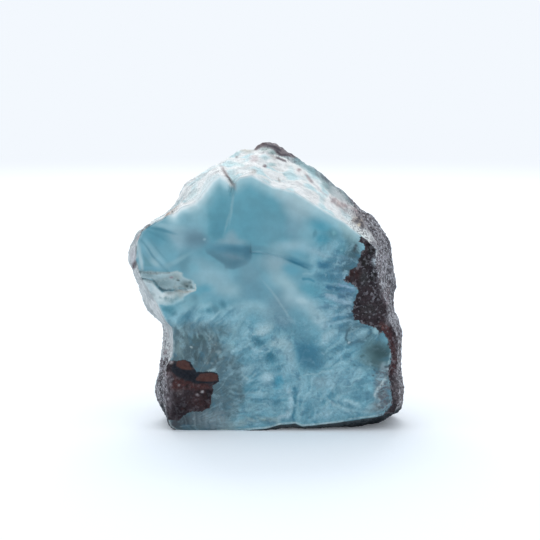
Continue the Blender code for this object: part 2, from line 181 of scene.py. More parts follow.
# %% [markdown]
# ## From the solid to a fine mesh
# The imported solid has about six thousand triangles, which is enough for the form but not for
# grain. The mesh is copied and welded, and then every edge that is too long for its place is
# cut in half, again and again. The face gets the shortest edges, because it is looked at
# most, and the flat base keeps long ones. This keeps all of the solid's own edges in place,
# which a voxel remesh would blur.

# %% Cut the mesh finer
FACE_FRAME_SHIFT = Vector((0.07, 22.22, 0.0))
FACE_SPAN = 5.0
FLANK_SPAN = 30.0
FACE_EDGE = 0.40
FLANK_EDGE = 0.56
BACK_EDGE = 0.86
BASE_EDGE = 2.4
WELD_GAP = 0.01 * MM
LONGEST = 1.35


def wanted_edge(edge):
    """The edge length in mm that a place should have."""
    middle = 0.5 * (edge.verts[0].co + edge.verts[1].co)
    if middle.z < WELD_GAP:
        return BASE_EDGE
    depth = middle.y / MM + FACE_FRAME_SHIFT.y
    if depth < FACE_SPAN:
        return FACE_EDGE
    return FLANK_EDGE if depth < FLANK_SPAN else BACK_EDGE


def cut_finer(work):
    for _ in range(6):
        long_edges = [edge for edge in work.edges
                      if edge.calc_length() / MM > LONGEST * wanted_edge(edge)]
        if not long_edges:
            return
        bmesh.ops.subdivide_edges(work, edges=long_edges, cuts=1)
        many_sided = [face for face in work.faces if len(face.verts) > 3]
        bmesh.ops.triangulate(work, faces=many_sided, quad_method="SHORT_EDGE")


work = bmesh.new()
work.from_mesh(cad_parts["larimar_stone"].data)
bmesh.ops.remove_doubles(work, verts=work.verts, dist=WELD_GAP)
cut_finer(work)
FLAT_TURN = math.radians(3.0)
flat_edges = [edge for edge in work.edges if edge.calc_face_angle(1.0) < FLAT_TURN]
bmesh.ops.beautify_fill(work, faces=work.faces, edges=flat_edges)
skin_mesh = bpy.data.meshes.new("larimar_skin")
work.to_mesh(skin_mesh)
work.free()
skin = bpy.data.objects.new("larimar_skin", skin_mesh)
bpy.context.scene.collection.objects.link(skin)
print("fine mesh:", len(skin_mesh.vertices), "points,", len(skin_mesh.polygons), "triangles")

# %% [markdown]
# ## Working with all points at once
# The rest of the shape is worked out with arrays, one row for each point of the mesh. Places
# are in millimetres in the face's own frame: X to the right, Y back from the plane of the
# face, Z up. Two questions come up again and again: how far is a point from a path drawn on
# the face, and how far is it inside an outline.

# %% Arrays and distances
point_count = len(skin_mesh.vertices)
flat_list = np.empty(point_count * 3)
skin_mesh.vertices.foreach_get("co", flat_list)
points = flat_list.reshape(-1, 3) / MM + np.array(FACE_FRAME_SHIFT)
edge_ends = np.empty(len(skin_mesh.edges) * 2, int)
skin_mesh.edges.foreach_get("vertices", edge_ends)
edge_ends = edge_ends.reshape(-1, 2)
neighbours = np.bincount(edge_ends.ravel(), minlength=point_count)


def smooth_step(low, high, value):
    t = np.clip((value - low) / (high - low), 0.0, 1.0)
    return t * t * (3.0 - 2.0 * t)


def path_distance(path, x, z):
    """Distance from each point to a path, and the side it lies on: +1 left, -1 right."""
    best = np.full(len(x), 1e9)
    side = np.ones(len(x))
    for (ax, az), (bx, bz) in zip(path, path[1:]):
        run_x, run_z = bx - ax, bz - az
        share = ((x - ax) * run_x + (z - az) * run_z) / (run_x ** 2 + run_z ** 2)
        share = np.clip(share, 0.0, 1.0)
        gap = np.hypot(x - ax - share * run_x, z - az - share * run_z)
        turn = run_x * (z - az) - run_z * (x - ax)
        closer = gap < best - 1e-6
        side = np.where(closer, np.where(turn >= 0.0, 1.0, -1.0), side)
        best = np.where(closer, gap, best)
    return best, side


def inside(outline, x, z):
    found = np.zeros(len(x), bool)
    for (ax, az), (bx, bz) in zip(outline, outline[1:] + outline[:1]):
        if az != bz:
            found ^= ((az > z) != (bz > z)) & (x < ax + (z - az) / (bz - az) * (bx - ax))
    return found


def depth_inside(outline, x, z):
    """How far each point is inside a closed outline; outside it the number is negative."""
    gap = path_distance(outline + outline[:1], x, z)[0]
    return np.where(inside(outline, x, z), gap, -gap)


def grain(places, size, seed=0.0):
    """Soft noise at each place, about -1 to 1, with lumps of the given size in mm."""
    return np.array([noise.noise(Vector(row)) for row in places / size + seed])


def cells(places, size, seed=0.0):
    """Distance from each place to the middle of its crystal cell, 0 to about 1."""
    return np.array([noise.voronoi(Vector(row))[0][0] for row in places / size + seed])


# %% [markdown]
# ## The worn face
# The face is nearly flat, with a low broken step across its middle, a facet that leans back
# at the far left, a chipped hollow below that, and a crack that opens into a notch at the
# top. The same outlines and heights made the solid, so measuring them again here puts every
# fine point of the face exactly where it belongs and the big triangles disappear.

# %% Outlines of the face
FACE_RIM = [
    (-9.0, 69.6), (-7.4, 71.6), (-4.0, 72.2), (-1.0, 70.6), (2.0, 69.0), (8.0, 67.6),
    (12.0, 65.0), (16.0, 62.5), (22.0, 58.8), (25.0, 56.2), (28.0, 54.0), (30.3, 51.5),
    (29.9, 47.0), (30.6, 43.0), (33.4, 36.0), (33.8, 32.5), (36.2, 27.5), (36.8, 24.0),
    (36.4, 16.0), (37.2, 8.5), (36.0, 5.3), (31.0, 4.2), (22.0, 2.8), (14.0, 1.7),
    (10.0, 1.4), (8.2, 2.2), (4.0, 1.9), (0.0, 0.8), (-6.0, 0.1), (-9.0, -4.5),
    (-23.0, -4.5), (-25.5, 0.0), (-27.0, 1.2), (-27.8, 4.5), (-28.2, 7.0), (-27.8, 13.0),
    (-28.0, 18.5), (-26.3, 21.5), (-26.0, 25.0), (-26.3, 29.5), (-28.3, 31.8),
    (-30.0, 35.5), (-32.6, 39.8), (-34.2, 42.4), (-34.9, 43.6), (-35.2, 44.7),
    (-35.7, 45.9), (-36.2, 48.5), (-35.8, 53.5),
    (-34.6, 56.6), (-31.2, 58.8), (-28.0, 60.5), (-25.0, 61.9), (-23.6, 63.4),
    (-20.0, 64.6), (-18.2, 66.4), (-15.3, 70.5), (-12.8, 72.4), (-10.6, 71.2),
]
STEP_EDGE = [
    (-20.0, 51.6), (-16.0, 50.2), (-12.0, 47.6), (-9.5, 46.3), (-5.3, 46.9), (-4.2, 50.3),
    (0.0, 50.0), (4.0, 49.0), (8.0, 47.4), (14.0, 46.2),
]
FACET_RIDGE = [(-38.0, 56.8), (-28.0, 47.3)]
FACET_END = [(-28.0, 47.3), (-26.5, 44.0)]
HOLLOW_EDGE = [
    (-39.0, 45.0), (-34.0, 45.4), (-31.0, 45.8), (-28.0, 45.3), (-25.0, 45.6),
    (-22.0, 43.6), (-20.4, 42.8), (-19.4, 40.0), (-24.0, 37.4), (-26.0, 36.0),
    (-29.5, 35.8), (-30.0, 33.5), (-35.0, 33.0),
]
HOLLOW_OPEN_SIDE = [(-45.0, 33.0), (-45.0, 45.0)]
LEDGE = [
    (-37.0, 43.6), (-34.0, 43.4), (-31.0, 42.3), (-29.0, 40.3), (-27.4, 39.6),
    (-25.0, 40.1), (-21.5, 39.9),
]
NOTCH = [(-12.0, 75.0), (-9.4, 69.8), (-9.6, 66.0), (-9.8, 61.0)]
CLUMP = [
    (-27.5, 13.0), (-24.0, 15.0), (-19.0, 15.2), (-15.6, 12.8), (-15.4, 6.6), (-18.5, 4.6),
    (-24.0, 4.2), (-28.0, 5.5),
]
FLANK_ROCK = [
    (27.0, 54.5), (26.2, 50.0), (25.2, 46.0), (21.6, 43.2), (24.8, 40.4), (24.4, 34.0),
    (26.0, 31.0), (31.0, 29.0), (34.0, 25.5), (34.4, 19.0), (34.0, 15.0), (35.2, 11.0),
    (33.0, 6.0), (38.0, 3.0), (40.0, 30.0), (34.0, 54.0),
]

# %% Heights of the face
STEP_HEIGHT = 1.3
STEP_SLOPE_LEFT = 4.4
STEP_SLOPE_RIGHT = 1.1
FACET_TILT = 0.26
HOLLOW_DEPTH = 2.5
LIP_DEPTH = 1.0
LEDGE_STEP = 0.9
NOTCH_DEPTH = 2.4
NOTCH_WIDTH = 1.3
CLUMP_HEIGHT = 0.9
ROCK_SINK = 0.7
FOOT_HEIGHT = 2.6
FOOT_DEPTH = 1.6
FOOT_RIGHT = -5.0
RIM_ROUNDING = 0.7
RIM_ROUNDING_WIDTH = 2.6
FACE_WAVE = 0.22
FACE_WAVE_SIZE = 13.0


def step_height(x, z):
    gap, side = path_distance(STEP_EDGE, x, z)
    slope = np.where(x < STEP_EDGE[5][0], STEP_SLOPE_LEFT, STEP_SLOPE_RIGHT)
    ends = smooth_step(STEP_EDGE[0][0] - 6.0, STEP_EDGE[2][0], x)
    ends *= 1.0 - smooth_step(STEP_EDGE[6][0], STEP_EDGE[9][0] + 6.0, x)
    height = ends * (1.0 - smooth_step(8.0, 21.0, gap)) * smooth_step(0.0, slope, gap)
    return np.where(side < 0.0, 0.0, STEP_HEIGHT * height)


def facet_height(x, z):
    gap, side = path_distance(FACET_RIDGE, x, z)
    off = (side > 0.0) | (path_distance(FACET_END, x, z)[1] > 0.0) | (z < HOLLOW_EDGE[0][1])
    return np.where(off, 0.0, -FACET_TILT * gap)


def hollow_height(x, z):
    edge_gap = path_distance(HOLLOW_EDGE, x, z)[0]
    ledge_gap, side = path_distance(LEDGE, x, z)
    lip = LIP_DEPTH * smooth_step(0.0, 2.2, edge_gap)
    drop = (1.0 - smooth_step(0.0, LEDGE_STEP, ledge_gap)) * smooth_step(0.0, 3.0, edge_gap)
    below = lip + (HOLLOW_DEPTH - lip) * drop
    above = HOLLOW_DEPTH * smooth_step(0.0, 4.6, edge_gap)
    chipped = inside(HOLLOW_EDGE + HOLLOW_OPEN_SIDE, x, z)
    return np.where(chipped, -np.where(side < 0.0, below, above), 0.0)


def notch_height(x, z):
    opening = smooth_step(NOTCH[2][1] - 2.0, NOTCH[1][1] + 1.0, z)
    return -NOTCH_DEPTH * opening * (1.0 - smooth_step(0.0, NOTCH_WIDTH,
                                                        path_distance(NOTCH, x, z)[0]))


def face_height(x, z):
    """Height of the worn face over its own plane, towards the viewer, in mm."""
    height = step_height(x, z) + facet_height(x, z) + hollow_height(x, z) + notch_height(x, z)
    height += CLUMP_HEIGHT * smooth_step(0.0, 2.5, depth_inside(CLUMP, x, z))
    height -= ROCK_SINK * smooth_step(0.0, 2.0, depth_inside(FLANK_ROCK, x, z))
    foot = 1.0 - smooth_step(FOOT_RIGHT - 4.0, FOOT_RIGHT + 2.0, x)
    height -= FOOT_DEPTH * foot * np.maximum(0.0, 1.0 - z / FOOT_HEIGHT)
    wave_places = np.column_stack([x, np.full(len(x), 4.0 * FACE_WAVE_SIZE), z])
    height += FACE_WAVE * grain(wave_places, FACE_WAVE_SIZE)
    rim_gap = path_distance(FACE_RIM + FACE_RIM[:1], x, z)[0]
    return height - RIM_ROUNDING * (1.0 - smooth_step(0.0, RIM_ROUNDING_WIDTH, rim_gap))


# %% Put the points of the face in place
ON_RIM = 0.03
FACE_REACH = 6.5
rim_inset = depth_inside(FACE_RIM, points[:, 0], points[:, 2])
on_face = (rim_inset > -ON_RIM) & (points[:, 1] < FACE_REACH)
on_rim = on_face & (np.abs(rim_inset) <= ON_RIM)
on_base = points[:, 2] < 0.01
face_points = points[on_face]
face_shift = -face_height(face_points[:, 0], face_points[:, 2]) - face_points[:, 1]
points[on_face, 1] += face_shift
print("points on the face:", int(on_face.sum()), "largest shift, mm:",
      round(float(np.abs(face_shift).max()), 2))

# %% [markdown]
# ## The broken sides
# Rock breaks into soft hollows and sharp little ridges, not into triangles. First the sides
# and back are smoothed a few times, each point moving towards the middle of its neighbours,
# while the rim and the base stay where they are. Then noise of several sizes is added along
# the surface's own direction: broad lumps, then ridges, then crystals of about a millimetre.

# %% Smooth the broken sides
SMOOTH_ROUNDS = 7
SMOOTH_SHARE = 0.5


def neighbour_mean(values):
    total = np.zeros_like(values)
    for axis in range(values.shape[1]):
        for start, end in ((0, 1), (1, 0)):
            total[:, axis] += np.bincount(edge_ends[:, start], values[edge_ends[:, end], axis],
                                          minlength=point_count)
    return total / neighbours[:, None]


free = (~on_face & ~on_base).astype(float)[:, None]
for _ in range(SMOOTH_ROUNDS):
    points += SMOOTH_SHARE * free * (neighbour_mean(points) - points)


def write_points():
    places = (points - np.array(FACE_FRAME_SHIFT)) * MM
    skin_mesh.vertices.foreach_set("co", places.ravel())
    skin_mesh.update()


def outward():
    """The direction that the surface faces at each point."""
    facing = np.empty(point_count * 3)
    skin_mesh.vertex_normals.foreach_get("vector", facing)
    return facing.reshape(-1, 3)


write_points()
print("smoothed", int(free.sum()), "points of the sides and back")

# %% [markdown]
# ## Where is which rock?
# The same stone changes from blue to chalk to basalt as one goes round it, so each kind of
# rock gets a share from 0 to 1 at every point. On the sides, one curve says how far behind
# the face the basalt starts, for each direction round the stone. A little noise keeps the
# borders ragged.

# %% Shares of basalt and chalk
STONE_CENTRE = (0.0, 36.0)
BASALT_START = [
    (-180, 22.0), (-168, 18.0), (-158, 12.0), (-151, 3.0), (-143, -3.0), (-122, -3.0),
    (-114, 3.0), (-95, 8.0), (-65, 6.0), (-40, -1.5), (-20, -3.0), (10, -3.0), (20, -2.0),
    (26, 3.0), (34, 11.0), (43, 16.0), (50, 21.0), (57, 25.0), (64, 28.0), (74, 28.0), (79, 24.0),
    (86, 22.0), (92, 23.0), (97, 31.0), (125, 35.0), (150, 31.0), (168, 27.0), (180, 22.0),
]
BASALT_EDGE = 1.6
BACK_VEIN_POINT = (-6.0, 42.0, 34.0)
BACK_VEIN_FACING = Vector((0.72, 0.10, 0.62)).normalized()
BACK_VEIN_HALF = 4.2

x, depth, z = points[:, 0], points[:, 1], points[:, 2]
bearing = np.degrees(np.arctan2(z - STONE_CENTRE[1], x - STONE_CENTRE[0]))
ragged = 2.2 * grain(points, 5.0, 3.7) + 1.2 * grain(points, 1.9, 8.1)
starts = np.interp(bearing, [angle for angle, _ in BASALT_START],
                   [start for _, start in BASALT_START])
past_start = depth - starts + ragged
side_basalt = smooth_step(-BASALT_EDGE, BASALT_EDGE, past_start)
vein_gap = np.abs((points - np.array(BACK_VEIN_POINT)) @ np.array(BACK_VEIN_FACING))
vein_gap += 3.0 * grain(points, 11.0, 5.5) + 1.6 * grain(points, 3.6, 2.5)
vein = (1.0 - smooth_step(BACK_VEIN_HALF - 0.8, BACK_VEIN_HALF + 0.4, vein_gap))
vein *= smooth_step(30.0, 36.0, depth)
side_basalt *= 1.0 - vein

FACE_ROCK = [
    (26.1, 54.8), (26.0, 53.6), (27.2, 52.9), (27.6, 51.8), (26.6, 50.8), (26.2, 49.8),
    (25.8, 48.4), (25.2, 47.2), (25.4, 46.2), (24.0, 46.1), (22.8, 45.6), (22.9, 44.5),
    (21.8, 43.9), (21.2, 43.1), (22.4, 42.5), (24.0, 42.1), (25.0, 41.2), (25.6, 40.0),
    (24.9, 38.2), (24.3, 36.4), (24.1, 34.2), (24.5, 32.2), (26.0, 31.8), (26.9, 30.9),
    (28.6, 30.2), (30.6, 29.6), (32.4, 28.5), (33.6, 27.2), (34.2, 25.4), (34.8, 23.4),
    (35.0, 21.6), (34.6, 19.6), (34.4, 17.4), (34.5, 15.2), (35.0, 12.4), (35.2, 9.6),
    (35.0, 7.8), (34.2, 6.4), (33.4, 5.2), (33.4, 4.0), (40.0, 3.0), (44.0, 30.0),
    (33.0, 50.0), (28.0, 55.6),
]
FACE_CLUMP = [
    (-29.5, 19.9), (-27.0, 20.0), (-25.4, 20.1), (-23.4, 20.5), (-21.4, 19.9), (-20.4, 18.2),
    (-19.6, 17.0), (-18.0, 17.0), (-16.0, 17.1), (-14.0, 16.6), (-13.4, 15.2), (-13.5, 14.1),
    (-14.4, 13.6), (-15.2, 13.0), (-14.9, 12.0), (-15.3, 10.4), (-15.5, 8.2), (-16.0, 6.7),
    (-17.0, 6.6), (-18.2, 5.8), (-20.6, 5.9), (-22.4, 5.2), (-23.6, 4.4), (-24.4, 3.3),
    (-27.8, 3.2), (-33.0, 5.0),
]
shake_x = 0.35 * grain(points, 1.3, 2.2) + 0.45 * grain(points, 4.4, 9.4)
shake_z = 0.35 * grain(points, 1.3, 6.9) + 0.45 * grain(points, 4.4, 1.8)
rock_inset = depth_inside(FACE_ROCK, x + shake_x, z + shake_z)
clump_inset = depth_inside(FACE_CLUMP, x + 0.3 * shake_x, z + 0.3 * shake_z)
face_basalt = np.maximum(smooth_step(-0.9, 0.7, rock_inset),
                         smooth_step(-0.45, 0.35, clump_inset))
basalt = np.where(on_face, face_basalt, side_basalt)
# Points that face down near the floor; they get painted shade further on.
underside = np.where(on_face, 0.0, smooth_step(0.1, 0.4, -outward()[:, 2]))
underside *= 1.0 - smooth_step(5.0, 8.0, z)
print("share of basalt:", round(float(basalt.mean()), 2))

# %% Roughen by kind of rock
LUMP, RIDGE, CRYSTAL, PIT, LAYER = 0.36, 0.26, 0.24, 0.18, 0.16
rim_distance = path_distance(FACE_RIM + FACE_RIM[:1], x, z)[0]
from_rim = np.hypot(rim_distance, np.maximum(depth, 0.0))
side_fade = np.where(on_face, 0.0, smooth_step(0.2, 2.4, from_rim))
along_rim = np.radians(bearing) * 36.0
slanted = along_rim + 0.5 * depth
layers = np.column_stack([slanted / 6.0, depth / 1.6, np.zeros(point_count)])
layered = 1.0 - 2.0 * np.abs(grain(layers, 1.0, 4.4))
rough_shift = LUMP * grain(points, 3.4, 1.1)
rough_shift += RIDGE * (1.0 - 2.0 * np.abs(grain(points, 1.9, 7.3)))
rough_shift -= CRYSTAL * (0.3 + 0.7 * basalt) * (cells(points, 1.5, 2.6) * 2.0 - 0.9)
rough_shift += PIT * grain(points, 0.8, 5.2)
rough_shift += LAYER * layered
points += outward() * (rough_shift * side_fade * free[:, 0])[:, None]

chipped = np.where(on_face, inside(HOLLOW_EDGE + HOLLOW_OPEN_SIDE, x, z), False).astype(float)
chipped *= smooth_step(0.0, 1.2, path_distance(HOLLOW_EDGE, x, z)[0])
face_rough = np.where(on_face & ~on_rim, basalt, 0.0)
bumps = 0.36 * grain(points, 2.2, 3.3) - 0.42 * (cells(points, 1.4, 7.9) * 2.0 - 0.9)
points[:, 1] -= face_rough * (bumps + 0.26 * grain(points, 0.8, 1.4))
points[:, 1] -= chipped * (0.26 * grain(points, 2.2, 6.1) + 0.2 * grain(points, 1.0, 2.9))
points[:, 2] = np.maximum(points[:, 2], 0.0)
write_points()
print("largest rough shift, mm:", round(float(np.abs(rough_shift * side_fade).max()), 2))

# %% [markdown]
# ## Painting the blue
# Larimar has milky clouds, turquoise pools, slate shadows and fine fibres that fan out from
# the basalt. No single noise makes that, so the colours are painted as on a canvas:
# soft blots, bands and pools, one over the other, each with a colour, a strength and a place
# in millimetres on the face. The canvas knows where each point of the mesh lies and lets the
# paint reach only as far as its mask. It is shaken a little with noise first, which turns
# smooth ovals into feathered clouds. Where the stone is fibrous, fringes of many fine strokes
# are laid over the blots. Their places come from a seeded dice, so they fall the same each
# time.

# %% Colours
TEAL_LIGHT = (126, 172, 187)
TURQUOISE = (74, 148, 172)
SKY = (108, 158, 176)
MILK = (144, 182, 196)
MILK_PALE = (164, 198, 210)
EYE = (78, 108, 114)
EYE_DARK = (54, 80, 86)
CHALK = (244, 250, 253)
FROST = (208, 231, 240)
ROSE = (154, 130, 132)
LIP = (206, 222, 228)
# Painted shadow for the curved ledge in the hollow.
LEDGE_SHADOW = (52, 68, 78)
BRICK = (90, 65, 62)
NIGHT = (36, 45, 52)
MAROON = (80, 56, 56)
WORN_GREY = (132, 132, 140)

# %% The canvas
class Canvas:
    """A sheet of paint over all points, in mm across and up, with a mask from 0 to 1."""

    def __init__(self, ground, across, up, mask):
        self.paint = np.tile(np.array(ground, float), (point_count, 1))
        self.move(across, up, mask)

    def move(self, across, up, mask):
        self.across, self.up, self.mask = across, up, mask

    def lay(self, colour, cover, near=slice(None)):
        share = (cover * self.mask[near])[:, None]
        self.paint[near] += share * (np.array(colour, float) - self.paint[near])

    def blot(self, colour, strength, cx, cz, half_x, half_z, turn=0.0, soft=0.7):
        """A soft oval with its middle at cx, cz. turn leans it, in degrees, to the left."""
        lean = math.radians(turn)
        reach = (1.0 + soft) * max(half_x, half_z)
        near = np.flatnonzero((np.abs(self.across - cx) < reach) & (np.abs(self.up - cz) < reach))
        dx, dz = self.across[near] - cx, self.up[near] - cz
        along = dx * math.cos(lean) + dz * math.sin(lean)
        over = dz * math.cos(lean) - dx * math.sin(lean)
        gap = np.hypot(along / half_x, over / half_z)
        self.lay(colour, strength * (1.0 - smooth_step(1.0 - soft, 1.0 + soft, gap)), near)

    def band(self, colour, strength, width, path, soft=0.8):
        """A soft brush stroke along a path."""
        gap = path_distance(path, self.across, self.up)[0] / (0.5 * width)
        self.lay(colour, strength * (1.0 - smooth_step(1.0 - soft, 1.0 + soft, gap)))

    def pool(self, colour, strength, outline, soft=0.5):
        """A filled outline with an edge of the given softness in mm."""
        self.lay(colour, strength * smooth_step(-soft, soft,
                                                depth_inside(outline, self.across, self.up)))


LARGE_WARP = (0.9, 9.0)
WARPS = ((0.8, 4.6), (0.5, 1.9), (0.28, 0.85))
mottled = 1.0 - smooth_step(26.0, 42.0, z + 0.25 * np.abs(x + 2.0) * (x > -2.0))
mottled = np.maximum(mottled, smooth_step(8.0, 20.0, x) * (1.0 - smooth_step(48.0, 62.0, z)))
warp_share = 0.2 + 0.8 * mottled
warp_x = warp_share * sum(size * grain(points, lump, 3.1) for size, lump in WARPS)
warp_z = warp_share * sum(size * grain(points, lump, 8.3) for size, lump in WARPS)
warp_x += LARGE_WARP[0] * grain(points, LARGE_WARP[1], 5.7)
warp_z += LARGE_WARP[0] * grain(points, LARGE_WARP[1], 0.6)
everywhere = np.ones(point_count)
face = Canvas(SKY, x + warp_x, z + warp_z, everywhere)

# %% Fringes of fine strokes
def along_path(path, share):
    """The place at a share, 0 to 1, of the length of a path."""
    steps = [math.dist(a, b) for a, b in zip(path, path[1:])]
    gone = np.cumsum([0.0] + steps) / sum(steps)
    return np.interp(share, gone, [a for a, _ in path]), np.interp(share, gone, [b for _, b in path])


def fringe(sheet, root, turns, length, width, tones, strength=0.55, count=30, seed=1):
    """Tapered strokes that start near a path and point the way given for its two ends."""
    dice = random.Random(seed)
    for number in range(count):
        share = (number + dice.random()) / count
        start_x, start_z = along_path(root, share)
        turn = turns[0] + share * (turns[1] - turns[0]) + dice.uniform(-9.0, 9.0)
        run = length * dice.uniform(0.4, 1.0)
        middle = 0.4 * run + length * dice.uniform(0.0, 0.7)
        sheet.blot(dice.choice(tones), strength * dice.uniform(0.6, 1.2),
                   start_x + middle * math.cos(math.radians(turn)),
                   start_z + middle * math.sin(math.radians(turn)),
                   0.5 * run, 0.5 * width * dice.uniform(0.6, 1.4), turn)

# %% Paint the smooth upper part
face.blot((98, 154, 172), 1.0, -4, 61, 21, 13, soft=0.5)
face.blot(TEAL_LIGHT, 0.85, -21, 59.5, 5.0, 4.4)
face.blot((140, 172, 186), 0.8, -24.6, 55.0, 2.8, 3.4, 8)
face.blot((112, 146, 162), 0.8, -20, 55.0, 2.8, 3.4, 12)
face.band(TEAL_LIGHT, 0.75, 5.0, [(-22, 62), (-18, 65.4), (-14, 70.4)])
face.pool((92, 150, 168), 0.85, [(-16.6, 66), (-16.0, 60), (-15.6, 56), (-10.8, 56), (-10.0, 67),
                                 (-12.5, 70.6), (-14.6, 68.8)], 0.9)
face.blot((82, 138, 157), 0.75, -12.8, 57.4, 2.2, 3.4)
face.blot((92, 150, 169), 0.75, -4, 58.5, 5.4, 5)
face.blot((98, 156, 174), 0.7, -5, 68, 4.6, 4)
face.blot((92, 150, 168), 0.6, 2.6, 62.4, 3.0, 4.6)
face.blot((102, 150, 167), 0.7, 3, 57, 5.0, 4.6, 0, 0.9)
face.blot((124, 158, 174), 0.6, 8.4, 58.4, 2.6, 4.0)
face.band((160, 186, 197), 0.7, 4.6, [(4.5, 67.4), (9, 65.6), (12.4, 63.4)])
face.blot((146, 174, 186), 0.65, 8.2, 63.4, 4.2, 2.6, -30)
face.blot((108, 168, 188), 0.75, 16.5, 60.6, 4.5, 1.7, -25)
face.blot((66, 144, 168), 0.8, 14.4, 58.6, 2.8, 1.5, -20, 0.9)
face.blot((96, 160, 180), 0.6, 17.0, 57.8, 1.3, 0.8)
face.blot((136, 170, 183), 0.5, 11.2, 61.2, 3.8, 3.0, -25, 0.95)
face.blot((72, 142, 164), 0.75, 15.2, 55.0, 1.9, 1.2)
face.blot(TEAL_LIGHT, 0.65, 10.8, 56, 2.0, 3.2)
face.blot((86, 136, 152), 0.8, 13.0, 56.2, 0.5, 1.0, -20)
face.blot((88, 138, 152), 0.8, 18.4, 56.2, 1.5, 1.3)
face.blot((112, 164, 176), 0.75, 18.6, 56.2, 0.6, 0.5)
face.blot((118, 156, 160), 0.8, 22.6, 57.0, 2.6, 1.3, -38)
face.blot((96, 132, 138), 0.75, 23.4, 54.2, 2.4, 1.6, -20)
face.blot((82, 114, 122), 0.85, 24.0, 50.0, 2.4, 3.0)
face.blot((66, 92, 98), 0.8, 24.8, 49.8, 1.3, 2.6)
face.blot((146, 180, 194), 0.8, 6.8, 52.7, 4.4, 1.5, 8, 0.9)
face.blot((144, 180, 195), 0.8, 13.6, 51.4, 4.0, 1.1, -8, 0.9)
face.blot((138, 178, 193), 0.65, 12.8, 49.2, 1.0, 1.6)
face.blot((130, 172, 188), 0.6, 17.4, 52.6, 1.6, 1.4)
face.blot((128, 160, 174), 0.6, -9.5, 55.4, 1.4, 1.6)
face.blot((118, 152, 166), 0.65, -9.2, 53.9, 3.2, 0.9)

# %% Paint the broken step and what lies under it
# Painted shade on the slope above the step's edge, which faces down: a dark pool and band, deepest at the
# edge and fading upwards.
STEP_SHADE = [
    (-17.4, 53.6), (-15.9, 50.2), (-14.0, 48.9), (-12.4, 47.7), (-11.9, 46.5), (-9.6, 46.1),
    (-6.8, 46.6), (-5.4, 47.1), (-4.5, 48.4), (-4.1, 50.2), (-5.0, 52.2), (-8.0, 52.9),
    (-11.0, 52.9), (-14.0, 53.4),
]
face.blot((94, 128, 144), 0.7, -18.4, 54.4, 3.0, 1.7, -15)
fading_up = face.mask * (1.0 - 0.9 * smooth_step(49.0, 53.0, face.up))
face.move(face.across, face.up, fading_up)
face.pool((84, 125, 142), 0.9, STEP_SHADE, 0.35)
face.move(face.across, face.up, everywhere)
face.pool((132, 165, 179), 0.65, [(-13.6, 52.6), (-10.6, 55.2), (-9.3, 57.0), (-7.8, 55.2), (-5.0, 52.4)],
          1.6)
face.blot((68, 116, 137), 0.85, -8.4, 51.5, 5.0, 1.3, -4, 1.0)
face.blot((104, 138, 153), 0.5, -10.2, 49.6, 2.4, 1.2, -16, 0.9)
face.blot((170, 198, 209), 0.5, -16.9, 54.6, 0.4, 0.35)
face.blot((66, 116, 138), 0.7, -5.4, 49.6, 1.0, 1.8)
face.blot((104, 136, 152), 0.6, -9.6, 49.4, 2.6, 0.55, -16)
face.blot((82, 124, 142), 0.6, -8.6, 47.4, 2.6, 0.8)
face.blot((116, 160, 176), 0.8, -18.6, 48.4, 3.4, 1.6, -24)
face.blot((96, 140, 155), 0.7, -22.6, 48.6, 2.0, 2.8)
face.blot((142, 180, 194), 0.8, -15.6, 44.8, 4.2, 2.6, -12, 0.9)
face.blot((112, 164, 180), 0.6, -19.6, 46.2, 1.4, 1.6)
face.blot((82, 152, 175), 0.9, -16.8, 40.6, 2.4, 1.1, 10)
face.blot((92, 158, 180), 0.7, -18.8, 39.4, 1.4, 1.2)
face.blot((148, 181, 192), 0.75, -10.4, 40.4, 3.8, 1.9, -10, 0.95)
face.blot((136, 174, 188), 0.6, -12.6, 42.8, 2.4, 2.4, 0, 0.95)
face.blot((108, 148, 164), 0.85, -4.6, 44.8, 3.4, 3.4, 8)
face.blot((98, 142, 160), 0.7, -3.6, 39.8, 3.2, 2.6)
# Painted shade: a dark stroke just above the step's edge.
face.band((94, 138, 154), 0.5, 1.6, [(-4.0, 51.6), (-1.0, 51.4), (3.0, 50.2), (6, 49.4)])
face.blot((136, 172, 185), 0.55, 3.2, 50.6, 3.0, 2.2, -10, 0.95)
# Painted shade in dark strokes just above the right end of the step's edge.
face.blot((72, 126, 148), 0.85, 8.4, 48.0, 3.4, 0.9, -14)
face.blot((54, 110, 133), 0.85, 8.8, 47.3, 3.0, 0.35, -17)
face.band((134, 165, 178), 0.5, 0.5, [(-4.0, 50.4), (-2.0, 50.5), (0.0, 49.9), (4.6, 48.6)])
face.blot((140, 170, 183), 0.85, 2.4, 47.2, 3.6, 1.9, -14, 0.8)
face.blot((138, 172, 184), 0.8, 3.0, 44.0, 2.4, 3.4, 10, 0.95)
face.blot((94, 152, 172), 0.85, 7.4, 45.6, 2.6, 1.3, -12)
face.blot((150, 182, 192), 0.85, 6.0, 41.4, 3.0, 1.7, -25, 0.95)
face.band((66, 128, 150), 0.8, 0.7, [(10.6, 43.4), (12.0, 43.6), (13.6, 42.8)])
face.band((142, 180, 193), 0.5, 0.5, [(10.5, 44.7), (11.6, 44.9), (12.8, 44.9), (13.8, 45.3)])
face.blot((128, 172, 188), 0.7, 14.2, 46.6, 1.4, 1.4)
face.blot((94, 158, 178), 0.85, 12.6, 40.4, 3.0, 1.6, -8)
face.blot((84, 146, 166), 0.6, 14.6, 38.2, 2.0, 0.8)
face.blot((104, 150, 166), 0.6, -1.2, 47.0, 2.0, 2.0)

